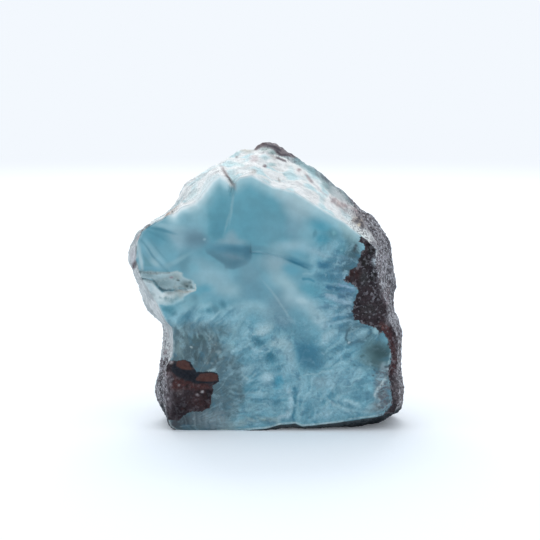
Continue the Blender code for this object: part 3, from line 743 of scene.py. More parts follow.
# %% Paint the left facet and the hollow
face.blot((76, 138, 158), 0.95, -30.6, 54.6, 3.4, 2.2, -14)
face.blot((104, 158, 175), 0.75, -27.0, 51.4, 2.2, 2.8)
face.blot((64, 122, 142), 0.8, -29.2, 56.8, 3.6, 0.45, -8)
face.blot((70, 130, 150), 0.7, -31.0, 55.4, 3.0, 0.35, -22)
face.blot((144, 182, 195), 0.75, -28.0, 58.0, 4.4, 0.7, -4)
face.blot((138, 178, 192), 0.8, -30.6, 50.4, 4.2, 0.75, -46)
face.blot((80, 128, 145), 0.8, -32.0, 50.4, 4.8, 0.4, -47)
face.blot((90, 140, 156), 0.7, -30.4, 52.0, 3.4, 0.25, -45)
face.blot((128, 170, 184), 0.7, -32.9, 50.8, 2.6, 0.3, -50)
face.pool((96, 142, 154), 0.8, [(-34.3, 49.9), (-33.2, 49.0), (-31.6, 46.8), (-34.2, 46.6)], 0.4)
face.blot((154, 182, 190), 0.75, -31.0, 48.0, 1.5, 0.9, -40)
face.blot((132, 171, 184), 0.7, -25.0, 48.8, 4.2, 0.7, 26)
face.blot((178, 200, 208), 0.8, -35.2, 48.4, 3.8, 0.6, 94)
HOLLOW_FLOOR = [
    (-37, 44.8), (-34.4, 45.1), (-32, 45.5), (-30, 45.2), (-27.4, 45.3), (-25, 45.7), (-23.5, 45.1),
    (-22.9, 44.0), (-21.4, 43.3), (-20.2, 42.8), (-19.7, 41.0), (-20.4, 40.3), (-23.0, 40.5),
    (-25.4, 40.2), (-26.8, 39.6), (-28.4, 39.8), (-30.0, 41.4), (-31.8, 43.2), (-37, 43.0),
]
face.pool((168, 192, 200), 0.95, HOLLOW_FLOOR, 0.35)
face.blot((122, 148, 156), 0.75, -33.2, 44.3, 1.8, 0.6)
face.blot((132, 160, 168), 0.7, -28.6, 42.2, 2.2, 1.3, -25)
face.blot((156, 174, 176), 0.6, -25.2, 44.2, 1.8, 0.9)
face.blot((108, 124, 126), 0.7, -22.4, 41.8, 1.4, 0.9)
face.band((184, 194, 194), 0.6, 0.5, [(-30.4, 45.3), (-27.4, 45.4), (-24.6, 45.7), (-23.2, 44.9)])
face.band((118, 122, 122), 0.6, 0.35, [(-32.4, 44.7), (-30.4, 45.0)])
face.blot((150, 128, 140), 0.8, -26.4, 43.8, 0.55, 0.4)
for hole_x, hole_z in ((-22.4, 41.3), (-21.0, 41.0), (-21.2, 42.4), (-24.6, 42.8)):
    face.blot((76, 94, 98), 0.85, hole_x, hole_z, 0.42, 0.34)
    face.blot((170, 176, 172), 0.5, hole_x + 0.1, hole_z + 0.6, 0.4, 0.2)
LIP_SHAPE = [
    (-38, 43.0), (-33.6, 43.0), (-32.0, 42.8), (-30.2, 41.0), (-28.6, 39.4), (-26.4, 39.3),
    (-25.0, 40.0), (-22.4, 40.4), (-19.7, 40.3), (-21.6, 39.2), (-23.2, 38.2), (-23.0, 36.6),
    (-24.4, 36.1), (-29.6, 35.9), (-28.8, 33.0), (-28.0, 31.4), (-31, 28), (-40, 36),
]
# The lip below the ledge is pale chalk, and it is painted lighter still where it faces up to the light:
# painted light, strongest in the white patch at its middle.
face.pool(LIP, 0.95, LIP_SHAPE, 0.3)
face.blot((172, 196, 206), 0.7, -32.6, 40.6, 1.2, 1.6)
face.blot((150, 166, 172), 0.7, -31.6, 38.8, 0.9, 0.6)
face.blot((158, 172, 176), 0.65, -26.8, 38.5, 1.3, 0.5, 20)
face.blot((176, 178, 174), 0.7, -24.6, 38.2, 1.1, 1.0)
face.blot((236, 242, 244), 0.85, -27.4, 37.4, 2.2, 1.3)
face.band((158, 174, 182), 0.6, 0.6, [(-31.6, 37.4), (-30.0, 34.6), (-29.2, 32.6)])
face.band((214, 212, 205), 0.8, 0.4, [(-24.4, 39.6), (-22.4, 39.5), (-19.9, 39.9), (-19.7, 41.6)])
# Painted shadow along the curved ledge of the hollow, where the upper shell overhangs the pale lip.
face.band(LEDGE_SHADOW, 0.45, 0.5, [(-29.6, 40.7), (-28.6, 39.9), (-27.4, 39.6), (-26.4, 39.7)], 0.6)
face.band((104, 124, 130), 0.5, 0.4, [(-31.9, 43.3), (-30.2, 41.4)], 0.6)
face.band((104, 122, 126), 0.5, 0.35, [(-25.6, 40.5), (-23.4, 40.7), (-20.4, 40.4)], 0.6)
fringe(face, [(-31.5, 42.6), (-25.0, 42.6), (-24.0, 38.0), (-30.0, 38.0)], (0, 360), 1.1, 0.6,
       ((178, 198, 203), (128, 150, 156), (146, 168, 174)), 0.6, 46, 51)

# %% Paint the lower left
face.blot((104, 160, 178), 0.85, -19, 34.2, 10, 3.2, -3)
face.blot((76, 134, 152), 0.95, -27.0, 34.9, 1.8, 0.9)
for path, width in (
        ([(-26.0, 31.8), (-24.6, 33.6), (-22.8, 34.9)], 2.0),
        ([(-21.6, 33.4), (-20.6, 34.6), (-18.2, 35.4)], 1.6),
        ([(-19.6, 33.0), (-17.0, 33.4), (-15.0, 32.4)], 1.5),
        ([(-17.2, 35.4), (-15.6, 36.0), (-14.2, 34.4)], 1.2),
        ([(-13.6, 33.4), (-10.4, 34.6), (-6.6, 35.8), (-2.2, 35.8), (0.4, 34.2)], 2.6),
        ([(-10.6, 31.2), (-8.4, 32.2), (-6.4, 32.4)], 0.7)):
    face.band((144, 184, 198), 0.65, width, path, 0.95)
for spot_x, spot_z, half_x, half_z in (
        (-14.7, 34.8, 0.9, 1.0), (-12.3, 36.3, 0.7, 1.1), (-20.2, 37.8, 0.8, 1.2),
        (-23.4, 36.6, 1.1, 0.4), (-22.6, 32.8, 1.2, 0.8), (-16.2, 34.2, 0.5, 0.6),
        (-19.2, 31.5, 1.3, 0.7), (-15.0, 30.9, 1.2, 0.7), (-23.4, 30.6, 1.0, 0.7),
        (-25.6, 33.8, 0.6, 0.5), (-11.2, 30.4, 0.9, 0.6)):
    face.blot((72, 122, 140), 0.75, spot_x, spot_z, 1.1 * half_x, half_z, 24.0, 0.9)
face.blot((96, 152, 172), 0.75, -4.6, 32.4, 2.8, 2.2)
face.blot((104, 156, 174), 0.6, -9.4, 33.0, 1.6, 1.2)
SMOKY = [
    (-27.0, 30.4), (-24, 29.0), (-21.4, 29.9), (-18.6, 29.2), (-16, 29.8), (-12.6, 28.8),
    (-11.2, 28.6), (-12.6, 26.4), (-11.2, 24.4), (-9.4, 23.0), (-9.6, 20.6), (-7.4, 19.2),
    (-7.6, 15.0), (-5.8, 12.8), (-5.8, 9.8), (-7.4, 7.6), (-9.2, 5.4), (-10.4, 3.0),
    (-10, -1), (-28, -1), (-28, 20),
]
face.pool((80, 101, 109), 0.95, SMOKY, 2.4)
face.blot((70, 95, 102), 0.85, -19.6, 26.4, 3.0, 1.9, 10)
face.blot((72, 98, 106), 0.7, -14.0, 21.0, 2.0, 1.2)
face.blot((74, 100, 108), 0.7, -19.4, 22.0, 1.8, 1.4)
face.blot((112, 136, 141), 0.85, -24.4, 23.4, 1.1, 2.0)
face.blot((100, 124, 131), 0.7, -22.4, 25.4, 1.0, 0.9)
face.blot((104, 130, 138), 0.7, -14.8, 25.2, 1.8, 1.4, 25)
face.blot((100, 126, 134), 0.7, -17.2, 19.4, 1.4, 1.2)
face.blot((82, 110, 122), 0.75, -11.0, 15.4, 2.2, 5.0)
face.blot((92, 116, 128), 0.75, -12.4, 6.4, 2.2, 3.0)
face.blot((116, 134, 143), 0.85, -15.0, 2.8, 3.2, 2.3, 20)
face.blot((98, 112, 121), 0.8, -19.2, 4.0, 2.4, 1.6)
face.blot((60, 69, 77), 0.85, -23.2, 3.0, 2.4, 2.0)
face.blot((66, 68, 74), 0.9, -26.6, 2.0, 1.8, 2.0)
face.band((150, 172, 178), 0.6, 0.5, [(-24.6, 1.2), (-22, 1.5), (-19.6, 1.2)])
face.blot((160, 182, 188), 0.8, -15.6, 26.9, 1.0, 0.35, 36)
fringe(face, [(-26.0, 28.0), (-13.0, 27.0), (-18.0, 20.0), (-9.0, 20.0), (-11.0, 4.0)], (0, 720), 1.2,
       1.5, ((112, 130, 136), (62, 80, 88), (98, 118, 125), (72, 90, 97)), 0.7, 84, 21)
fringe(face, [(-26.0, 28.0), (-13.0, 27.0), (-18.0, 20.0), (-9.0, 20.0)], (0, 720), 0.9, 0.6,
       ((140, 162, 168), (58, 80, 88)), 0.7, 34, 22)
fringe(face, [(-23.0, 0.0), (-13.0, -0.5)], (118, 66), 5.0, 0.5,
       ((120, 136, 144), (70, 84, 92), (98, 114, 122)), 0.55, 34, 23)
fringe(face, [(-13.0, 20.0), (-14.0, 6.0)], (14, -22), 6.0, 0.7,
       ((92, 118, 129), (70, 96, 107), (106, 134, 145)), 0.55, 40, 24)
face.blot((120, 143, 150), 0.7, -17.6, 21.7, 0.5, 0.9, -15)
face.blot((138, 160, 166), 0.75, -13.6, 22.4, 0.9, 0.35)
face.blot((150, 170, 175), 0.8, -14.8, 17.5, 0.8, 0.35)
# Painted glints: tiny white spots where the polished face catches the light.
for glint_x, glint_z, size in ((-20.9, 23.8, 0.22), (-3.6, 28.2, 0.42), (-4.3, 27.4, 0.26),
                               (-5.2, 26.7, 0.22), (-2.6, 27.2, 0.2), (-0.6, 7.4, 0.25)):
    face.blot((212, 226, 231), 0.9, glint_x, glint_z, size, 0.85 * size)
face.blot((134, 156, 164), 0.7, -11.6, 2.2, 2.6, 1.6)
face.band((140, 182, 192), 0.8, 1.3, [(-9.7, 23.6), (-8.8, 26.6), (-8.2, 29.8)])
face.blot((92, 130, 144), 0.75, -7.6, 20.6, 1.8, 1.5)
face.blot((104, 154, 170), 0.75, -5.8, 26.8, 1.9, 2.2)
face.blot((66, 116, 134), 0.9, -2.2, 25.6, 1.8, 0.9, -12)
face.band((154, 190, 203), 0.8, 0.8, [(-9.4, 22.6), (-7.0, 23.4), (-5.4, 24.6), (-4.4, 26.2)])
face.band((150, 188, 202), 0.75, 0.7, [(-5.4, 25.0), (-4.0, 23.9), (-2.0, 23.3), (0.0, 22.9)])
face.blot((156, 187, 197), 0.85, -1.2, 29.4, 2.0, 1.6, 30)
face.blot((54, 108, 128), 0.95, 1.0, 21.2, 1.2, 1.3)
face.blot((72, 126, 146), 0.8, 0.8, 19.2, 1.2, 0.8)
face.band((162, 194, 204), 0.85, 0.8, [(-6.7, 18.5), (-6.9, 16.6), (-5.8, 15.1), (-4.3, 14.9)])
face.band((158, 190, 202), 0.8, 0.8, [(-3.7, 18.6), (-3.3, 17.0), (-3.6, 16.0)])
face.blot((92, 134, 148), 0.85, -4.9, 17.2, 0.7, 0.9)
face.blot((74, 124, 142), 0.8, -3.4, 14.0, 1.1, 0.7)
face.blot((160, 192, 205), 0.85, 0.0, 15.0, 1.3, 1.3)
face.blot((140, 180, 195), 0.7, -1.4, 18.6, 1.8, 1.4)
face.blot((74, 146, 172), 0.9, 3.3, 14.2, 0.9, 1.2)
face.blot((86, 144, 166), 0.7, 3.4, 17.4, 0.8, 1.2)
for level, tone in ((13.2, MILK), (12.2, (88, 138, 158)), (11.2, MILK), (10.0, (88, 138, 158))):
    face.band(tone, 0.7, 0.8, [(-5.6, level - 0.7), (-3, level), (0.6, level + 0.4)])
face.blot((84, 132, 150), 0.85, -3.0, 8.4, 0.9, 0.7)
face.blot((82, 132, 152), 0.85, 1.4, 8.0, 1.7, 0.8)
face.blot((92, 154, 178), 0.7, 2.6, 10.4, 1.2, 1.0)
face.blot((112, 150, 164), 0.6, -5.6, 6.2, 1.8, 1.2)
face.band((142, 168, 175), 0.8, 1.8, [(-9.6, 1.8), (-5, 3.0), (-1, 3.2), (3, 2.8)])
face.blot((128, 152, 152), 0.7, -0.6, 3.0, 1.2, 0.6)

# %% Paint the centre and the lower right
face.blot((110, 146, 162), 0.85, 3.2, 35.6, 3.4, 3.6, 28)
face.blot((118, 158, 174), 0.6, 0.6, 32.8, 2.0, 2.0)
face.blot((102, 138, 156), 0.9, 4.8, 31.2, 2.8, 1.7, -10)
face.band((150, 182, 194), 0.85, 4.0, [(6.4, 38.4), (9.6, 36.9), (13.0, 34.6), (16.6, 31.4)], 0.95)
face.blot((162, 192, 203), 0.75, 9.8, 37.0, 1.7, 0.9, -20)
face.blot((154, 188, 201), 0.8, 15.2, 31.4, 1.8, 0.9, -15)
face.blot((96, 142, 161), 0.85, 9.4, 28.6, 2.8, 2.0, 10)
face.blot((144, 174, 186), 0.6, 3.6, 36.3, 6.8, 0.3, -54)

face.blot((152, 184, 195), 0.85, 2.8, 25.4, 2.0, 1.5, 20)
face.blot((128, 160, 173), 0.85, 5.8, 22.8, 1.4, 3.2, 8)
face.blot((62, 116, 140), 0.95, 11.0, 22.4, 2.4, 2.9, 8)
face.blot((84, 132, 152), 0.85, 13.8, 19.6, 2.6, 1.1, -10)
face.blot((98, 142, 158), 0.7, 15.4, 22.8, 1.4, 2.2)
face.blot((90, 140, 158), 0.7, 12.4, 26.4, 1.8, 1.2)
face.blot((152, 188, 200), 0.9, 17.0, 27.0, 1.8, 1.3, 35)
face.blot((140, 180, 194), 0.7, 20.4, 28.8, 1.4, 0.8, 35)
face.blot((74, 126, 146), 0.9, 19.8, 23.1, 1.5, 0.5, -4)
face.blot((60, 108, 128), 0.8, 18.4, 30.4, 0.4, 0.6)
face.blot((124, 172, 188), 0.75, 22.6, 21.4, 1.7, 1.2)
face.blot((136, 176, 190), 0.75, 18.6, 19.2, 2.6, 0.8, 5)
face.band((160, 194, 205), 0.6, 0.35, [(9.4, 16.2), (12.6, 17.2), (16.0, 17.6), (18.6, 17.2),
                                      (21.4, 17.0), (24.2, 17.9)])
face.band((84, 126, 142), 0.65, 0.4, [(18.6, 16.6), (21.6, 16.3), (24.0, 17.3)])
face.blot((116, 148, 162), 0.85, 14.8, 15.0, 2.2, 1.7, 8)
face.blot((124, 168, 185), 0.7, 8.6, 14.6, 2.0, 1.8)
face.blot((144, 180, 193), 0.8, 19.2, 13.6, 1.8, 1.2)
face.blot((86, 128, 146), 0.85, 22.2, 11.9, 1.7, 0.8, -8)
face.blot((126, 176, 192), 0.8, 27.6, 12.2, 1.9, 0.9)
face.blot((130, 178, 193), 0.8, 25.8, 16.6, 1.4, 1.1)
face.blot((74, 116, 134), 0.8, 25.2, 14.3, 1.2, 0.35, 18)
face.blot((74, 114, 130), 0.8, 25.0, 18.9, 0.9, 0.35, -25)
face.blot((92, 136, 154), 0.7, 28.6, 10.6, 1.6, 0.7)
face.blot((104, 158, 178), 0.6, 11.6, 12.4, 1.8, 1.2)
face.band((160, 192, 206), 0.9, 1.5, [(6.3, 12.6), (7.2, 9.6), (6.9, 6.8), (5.6, 4.4), (3.4, 3.4)])
face.band((72, 126, 148), 0.9, 1.0, [(8.1, 13.0), (8.4, 10.6), (8.8, 8.2), (8.3, 6.0), (7.2, 4.0),
                                     (8.0, 2.8)])
face.blot((84, 138, 158), 0.85, 10.6, 7.8, 1.2, 1.0)
face.band((142, 186, 199), 0.85, 1.3, [(12.8, 10.2), (11.8, 8.0), (10.4, 5.6), (9.5, 2.8)])
face.band((82, 142, 165), 0.9, 1.2, [(14.2, 6.0), (13.2, 4.2), (13.6, 2.6)])
face.blot((80, 148, 168), 0.85, 15.6, 8.0, 0.9, 0.9)
for plume_x in (14.8, 16.9, 18.7, 20.6):
    face.band((150, 190, 203), 0.75, 0.7, [(plume_x + 0.3, 10.6), (plume_x, 8.6),
                                           (plume_x - 0.2, 6.6)])
    face.band((80, 136, 157), 0.7, 0.5, [(plume_x + 1.1, 10.0), (plume_x + 0.9, 6.4)])
face.blot((152, 186, 200), 0.85, 17.6, 4.6, 1.9, 0.8)
face.blot((84, 140, 162), 0.7, 20.6, 5.2, 0.8, 1.0)
WHITE_FAN = [(21.6, 10.4), (25.0, 8.6), (30.2, 5.2), (28.4, 4.6), (25.4, 5.6), (22.0, 7.6)]
face.pool((156, 192, 204), 0.8, WHITE_FAN, 0.5)
for foot_x in (22.4, 23.8, 25.4):
    face.band((82, 136, 156), 0.8, 0.7, [(foot_x + 0.4, 5.6), (foot_x, 3.4)])
face.blot((120, 144, 154), 0.8, 30.6, 7.4, 1.7, 1.5)

# %% Feather the mottled parts
PALE_FIBRE = (150, 188, 201)
BLUE_FIBRE = (122, 168, 186)
DARK_FIBRE = (78, 128, 148)
fringe(face, [(-26.5, 29.8), (-20.0, 29.6), (-12.0, 30.0)], (52, 36), 6.0, 0.9,
       (PALE_FIBRE, PALE_FIBRE, BLUE_FIBRE, DARK_FIBRE), 0.6, 44, 2)
fringe(face, [(-12.5, 26.0), (-9.0, 22.0)], (64, 48), 8.0, 0.8,
       (PALE_FIBRE, BLUE_FIBRE, (96, 142, 158)), 0.55, 30, 3)
fringe(face, [(-8.4, 24.0), (-6.8, 14.0), (-8.4, 5.0)], (38, -18), 7.5, 0.8,
       (PALE_FIBRE, BLUE_FIBRE, DARK_FIBRE, (100, 140, 156)), 0.55, 60, 4)
fringe(face, [(-0.5, 22.0), (1.0, 14.0), (0.5, 5.0)], (60, 10), 6.0, 0.9,
       (PALE_FIBRE, BLUE_FIBRE, DARK_FIBRE), 0.5, 44, 5)
fringe(face, [(25.8, 49.0), (24.4, 41.8), (24.8, 37.0), (24.6, 33.0), (27.0, 30.6)], (158, 222), 7.0,
       0.8, ((142, 176, 192), (84, 130, 150), (128, 168, 188), (70, 112, 134)), 0.6, 70, 6)
fringe(face, [(14.0, 26.0), (17.0, 21.0), (18.0, 18.0)], (44, 28), 7.0, 0.8,
       (PALE_FIBRE, BLUE_FIBRE, DARK_FIBRE), 0.55, 46, 7)
fringe(face, [(16.0, 16.0), (20.0, 10.0)], (28, 44), 7.5, 0.8,
       (PALE_FIBRE, BLUE_FIBRE, (82, 126, 146)), 0.55, 40, 8)
fringe(face, [(9.4, 3.0), (11.8, 2.8)], (92, 16), 10.0, 1.0,
       (PALE_FIBRE, (84, 140, 162), BLUE_FIBRE), 0.6, 40, 9)
fringe(face, [(21.0, 3.6), (31.0, 5.0)], (128, 160), 7.0, 0.9,
       ((158, 192, 204), DARK_FIBRE, BLUE_FIBRE), 0.6, 26, 10)
fringe(face, [(-26.0, 31.0), (-18.0, 30.6), (-12.0, 30.0)], (-80, -50), 3.6, 0.8,
       ((138, 176, 188), (116, 150, 160), (86, 114, 123)), 0.6, 40, 11)
fringe(face, [(-9.6, 25.0), (-7.2, 16.0), (-8.0, 5.0)], (196, 164), 3.6, 0.8,
       ((124, 160, 172), (106, 140, 152), (82, 110, 120), (132, 166, 178)), 0.55, 54, 12)
for tone, strength, pool_x, pool_z, half_x, half_z, turn in (
        ((62, 116, 140), 0.85, 11.8, 22.4, 3.0, 3.2, 10),
        ((92, 142, 160), 0.6, 8.8, 28.4, 3.6, 2.6, -30),
        ((56, 110, 131), 0.9, 1.2, 21.0, 1.5, 1.4, 0),
        ((66, 116, 136), 0.85, -2.0, 26.0, 2.1, 1.0, -16),
        ((74, 146, 172), 0.8, 3.3, 14.2, 1.0, 1.4, 0),
        ((80, 132, 152), 0.75, -4.8, 12.6, 2.0, 1.2, 10),
        ((76, 128, 150), 0.7, 2.4, 8.4, 2.2, 1.2, 15),
        ((78, 134, 156), 0.75, 12.6, 7.0, 1.4, 2.6, -14),
        ((80, 130, 150), 0.7, 19.0, 11.2, 2.6, 1.2, 30),
        ((76, 124, 144), 0.75, 20.0, 23.0, 1.9, 0.7, 6),
        ((84, 134, 154), 0.7, 26.4, 12.8, 2.2, 0.9, 34),
        ((150, 183, 194), 0.75, 4.0, 26.0, 2.6, 1.8, -35),
        ((154, 186, 197), 0.75, -0.6, 29.8, 2.2, 1.4, 36),
        ((158, 190, 203), 0.8, 0.0, 15.2, 1.6, 1.4, 0),
        ((148, 184, 198), 0.7, 17.2, 27.2, 2.8, 1.2, 38),
        ((146, 182, 196), 0.6, 6.6, 18.6, 1.6, 2.6, 20),
        ((142, 178, 192), 0.6, 17.4, 14.4, 3.0, 1.6, 14),
        ((150, 186, 200), 0.65, 16.4, 4.8, 2.6, 1.3, 20),
        ((142, 178, 191), 0.65, -5.4, 18.4, 1.6, 1.2, 40),
        ((136, 172, 184), 0.6, -3.6, 6.4, 2.4, 1.0, -8)):
    face.blot(tone, strength, pool_x, pool_z, half_x, half_z, turn, 0.85)
for tone, strength, pool_x, pool_z, half_x, half_z in (
        ((68, 106, 126), 0.6, 20.6, 45.6, 3.0, 3.2), ((66, 104, 126), 0.6, 22.8, 40.2, 2.2, 2.8),
        ((66, 104, 124), 0.6, 22.6, 34.8, 2.2, 3.0), ((72, 108, 124), 0.6, 25.4, 27.4, 2.8, 2.8),
        ((66, 98, 112), 0.6, 30.0, 27.0, 2.6, 1.4), ((70, 98, 112), 0.6, 31.8, 17.6, 1.8, 3.0),
        ((70, 94, 104), 0.55, -19.6, 29.6, 4.6, 1.6), ((80, 112, 124), 0.5, -11.6, 28.4, 2.8, 2.4),
        ((62, 80, 87), 0.6, -19.8, 21.4, 2.8, 2.0), ((80, 110, 123), 0.6, -9.6, 16.6, 2.8, 3.2),
        ((84, 128, 146), 0.45, -3.0, 19.4, 2.2, 2.4), ((140, 180, 192), 0.5, -21.4, 36.6, 4.6, 2.2),
        ((126, 167, 183), 0.3, -30.4, 52.6, 4.6, 5.6), ((142, 178, 190), 0.45, -17.4, 42.6, 4.0, 2.4),
        ((60, 90, 104), 0.6, 23.6, 49.2, 2.0, 3.4), ((56, 84, 100), 0.6, 24.0, 34.4, 1.5, 4.2),
        ((66, 94, 108), 0.55, 26.6, 30.0, 2.0, 1.6), ((56, 78, 88), 0.6, 32.4, 18.6, 1.8, 3.4),
        ((142, 174, 187), 0.5, 1.4, 47.8, 3.2, 2.0), ((142, 178, 190), 0.5, -5.2, 34.4, 3.8, 2.0),
        ((152, 182, 192), 0.5, 9.6, 63.4, 3.6, 2.4), ((136, 176, 190), 0.5, 21.4, 5.8, 2.8, 2.2),
        ((134, 172, 186), 0.5, 13.2, 9.0, 1.8, 2.8)):
    face.blot(tone, strength, pool_x, pool_z, half_x, half_z, 0.0, 0.95)
print("feathered the mottled parts")

# %% Paint the crystals, the eye and the edge of the basalt
CRYSTAL_OVAL = [(22.2, 26.4), (23.0, 28.4), (25.4, 29.6), (28.0, 29.2), (28.5, 27.0),
                (26.8, 25.5), (24.6, 24.9), (22.8, 25.2)]
face.blot((98, 134, 148), 0.75, 25.6, 29.4, 3.4, 0.9, 12)
face.pool((116, 154, 168), 0.8, CRYSTAL_OVAL, 0.5)
face.band((72, 104, 118), 0.85, 0.7, CRYSTAL_OVAL + CRYSTAL_OVAL[:1])
face.blot((140, 178, 192), 0.8, 26.0, 27.4, 1.3, 0.6, 15)
face.band((74, 110, 124), 0.8, 0.45, [(28.0, 28.2), (28.4, 26.4), (26.4, 25.2)])
face.blot((78, 112, 126), 0.8, 23.6, 24.7, 0.9, 0.7)
face.blot((196, 216, 224), 0.9, 23.3, 25.0, 0.35, 0.3)
face.blot((150, 186, 197), 0.85, 29.9, 28.2, 1.0, 0.9, -30)
face.blot((70, 82, 92), 0.85, 31.0, 28.0, 0.4, 0.6)
face.blot((88, 124, 134), 0.8, 30.2, 21.8, 4.2, 4.0, 10, 0.6)
face.blot(EYE, 0.95, 30.8, 22.2, 3.2, 3.2, 10)
face.blot((72, 100, 106), 0.85, 30.6, 19.4, 2.0, 1.3)
face.blot(EYE_DARK, 0.9, 32.0, 22.8, 2.4, 2.1)
face.blot((104, 140, 150), 0.6, 27.6, 20.4, 1.2, 1.4)
face.blot((60, 92, 98), 0.7, 27.2, 21.2, 0.5, 0.4)
face.band((160, 184, 192), 0.75, 0.5, [(34.4, 24.0), (34.6, 21.6), (34.0, 19.8)])
face.blot((146, 170, 180), 0.8, 33.0, 18.4, 1.1, 1.3, -20)
for mark_x, mark_z in ((28.9, 16.2), (30.8, 17.3), (29.6, 17.5), (31.8, 15.2), (33.0, 10.4)):
    face.blot((62, 84, 94), 0.85, mark_x, mark_z, 0.45, 0.35)
face.blot((84, 108, 122), 0.85, 33.6, 12.4, 1.3, 2.4, 10)
face.blot((120, 152, 164), 0.7, 31.4, 14.2, 1.1, 1.8)
face.blot((112, 126, 134), 0.85, 32.8, 13.0, 2.2, 4.6, 6)
face.blot((100, 110, 117), 0.85, 33.2, 8.6, 2.2, 2.4)
face.blot((116, 130, 136), 0.75, 30.4, 6.8, 2.4, 1.4)
fringe(face, [(33.6, 19.0), (32.6, 12.0), (31.0, 6.0)], (30, 80), 1.6, 0.6,
       ((62, 74, 82), (168, 186, 195), (84, 98, 106)), 0.8, 60, 31)
face.blot((190, 208, 214), 0.85, 32.6, 14.2, 2.6, 0.35, 56)
face.blot((184, 202, 210), 0.8, 31.3, 11.4, 1.4, 0.3, 64)
face.blot((70, 88, 98), 0.8, 34.0, 9.4, 1.0, 0.6)
face.blot((132, 160, 170), 0.7, 31.4, 9.0, 1.4, 0.6)
face.blot((58, 110, 136), 0.95, 16.0, 47.9, 1.7, 1.1)
face.blot((70, 120, 142), 0.9, 17.2, 44.4, 2.8, 1.7, 8)
face.blot((84, 132, 152), 0.7, 18.0, 49.4, 1.0, 0.9)
face.band((56, 104, 130), 0.85, 0.9, [(17.2, 40.9), (19.2, 41.2), (20.8, 40.8)])
face.band((66, 104, 128), 0.8, 0.8, [(20.6, 39.4), (22.6, 39.1), (24.8, 38.9)])
face.band((128, 158, 184), 0.85, 0.7, [(20.4, 42.4), (22.6, 41.6), (24.8, 41.0)])
face.band((108, 140, 168), 0.75, 0.6, [(20.8, 40.4), (22.8, 40.4), (24.8, 40.2)])
face.band((142, 172, 190), 0.85, 1.3, [(17.4, 38.2), (20.4, 38.2), (24.0, 37.6)])
face.band((84, 128, 148), 0.7, 0.6, [(16.6, 36.2), (19.6, 35.4), (23.6, 35.2)])
face.blot((72, 98, 118), 0.8, 23.4, 35.6, 0.9, 1.2)
face.blot((68, 100, 112), 0.85, 22.4, 46.2, 1.9, 1.2, -10)
face.band((142, 178, 191), 0.5, 0.5, [(18.6, 48.2), (19.4, 47.7), (21.0, 47.3)])
face.blot((76, 124, 140), 0.85, 20.6, 51.8, 1.1, 1.0)
face.blot((116, 164, 178), 0.8, 20.5, 51.9, 0.45, 0.4)
face.blot((44, 52, 58), 0.9, 25.0, 52.2, 0.5, 0.5)
face.blot((66, 82, 88), 0.8, 24.5, 51.2, 0.5, 0.6)
face.band((136, 176, 194), 0.8, 0.8, [(17.8, 30.6), (20.8, 31.6), (24.0, 31.6)])
face.band((132, 172, 190), 0.75, 0.8, [(16.8, 33.4), (19.6, 34.0), (22.8, 33.6)])
face.blot((86, 138, 162), 0.7, 20.6, 32.7, 2.2, 0.5, 5)
face.blot((80, 106, 118), 0.75, 25.6, 47.0, 0.7, 1.8)
print("painted the worn face")

# %% [markdown]
# ## The rind and the rim
# Where the blue meets the weathered outside it turns to white chalk, brightest along the
# rim. Most of the sides is painted from what is known at each point: how far behind the face
# it is, which way round the stone, and how close the basalt is. The marks that can be told
# apart from the front are set with their own places. For these, each point of the sides is
# looked at from where the camera stands and gets the place where that line crosses the plane
# of the face, so the slope above the rim can be painted with the same millimetres.

# %% Paint the rind
streaks = grain(np.column_stack([slanted / 5.0, depth / 0.8, 0.0 * depth]), 1.0, 2.7)
back_share = smooth_step(0.4, 0.8, outward()[:, 1])
streaks += back_share * (grain(np.column_stack([x / 1.0, z / 5.0, 0.0 * x]), 1.0, 2.7) - streaks)
wide_streaks = grain(np.column_stack([slanted / 9.0, depth / 2.2, 0.0 * depth]), 1.0, 6.3)
blotches = grain(points, 4.0, 9.9)
upper_band = smooth_step(20.0, 36.0, bearing) * (1.0 - smooth_step(140.0, 165.0, bearing))
left_side = smooth_step(140.0, 158.0, np.abs(bearing))
side = Canvas(CHALK, x, z, everywhere)
side.lay(FROST, 0.6 * smooth_step(0.0, 0.5, 0.6 * wide_streaks + blotches))
side.lay((200, 233, 242), 0.8 * smooth_step(0.0, 0.4, blotches) * upper_band)
side.lay((196, 207, 215), 0.25 * smooth_step(0.2, 0.45, streaks))
side.lay((196, 205, 211), 0.85 * left_side)
side.lay((152, 164, 172), 0.75 * left_side * smooth_step(0.0, 0.5, streaks + blotches))
toward_basalt = smooth_step(-10.0, -1.0, past_start)
side.lay((168, 170, 177), 0.7 * toward_basalt * smooth_step(-0.3, 0.4, streaks + 0.5 * blotches))
side.lay(ROSE, 0.45 * toward_basalt * smooth_step(0.15, 0.4, grain(points, 2.4, 4.8)))
behind = smooth_step(30.0, 38.0, depth)
side.lay((150, 192, 206), 0.6 * behind * smooth_step(-0.2, 0.4, blotches))
vein_core = 1.0 - smooth_step(0.5, BACK_VEIN_HALF, vein_gap)
side.lay(TURQUOISE, 0.8 * vein * smooth_step(0.3, 0.8, vein_core + 0.6 * blotches))
side.lay(MILK_PALE, 0.7 * vein * (1.0 - smooth_step(0.0, 0.5, vein_core + 0.3 * streaks)))
bubbles = cells(points, 6.4, 3.4)
bubble = (1.0 - smooth_step(0.13, 0.19, bubbles)) * smooth_step(10.0, 14.0, depth) * (z > 6.0)
side.lay(MILK_PALE, 0.9 * bubble * side_basalt)
basalt = np.where(on_face, basalt, basalt * (1.0 - 0.9 * bubble))

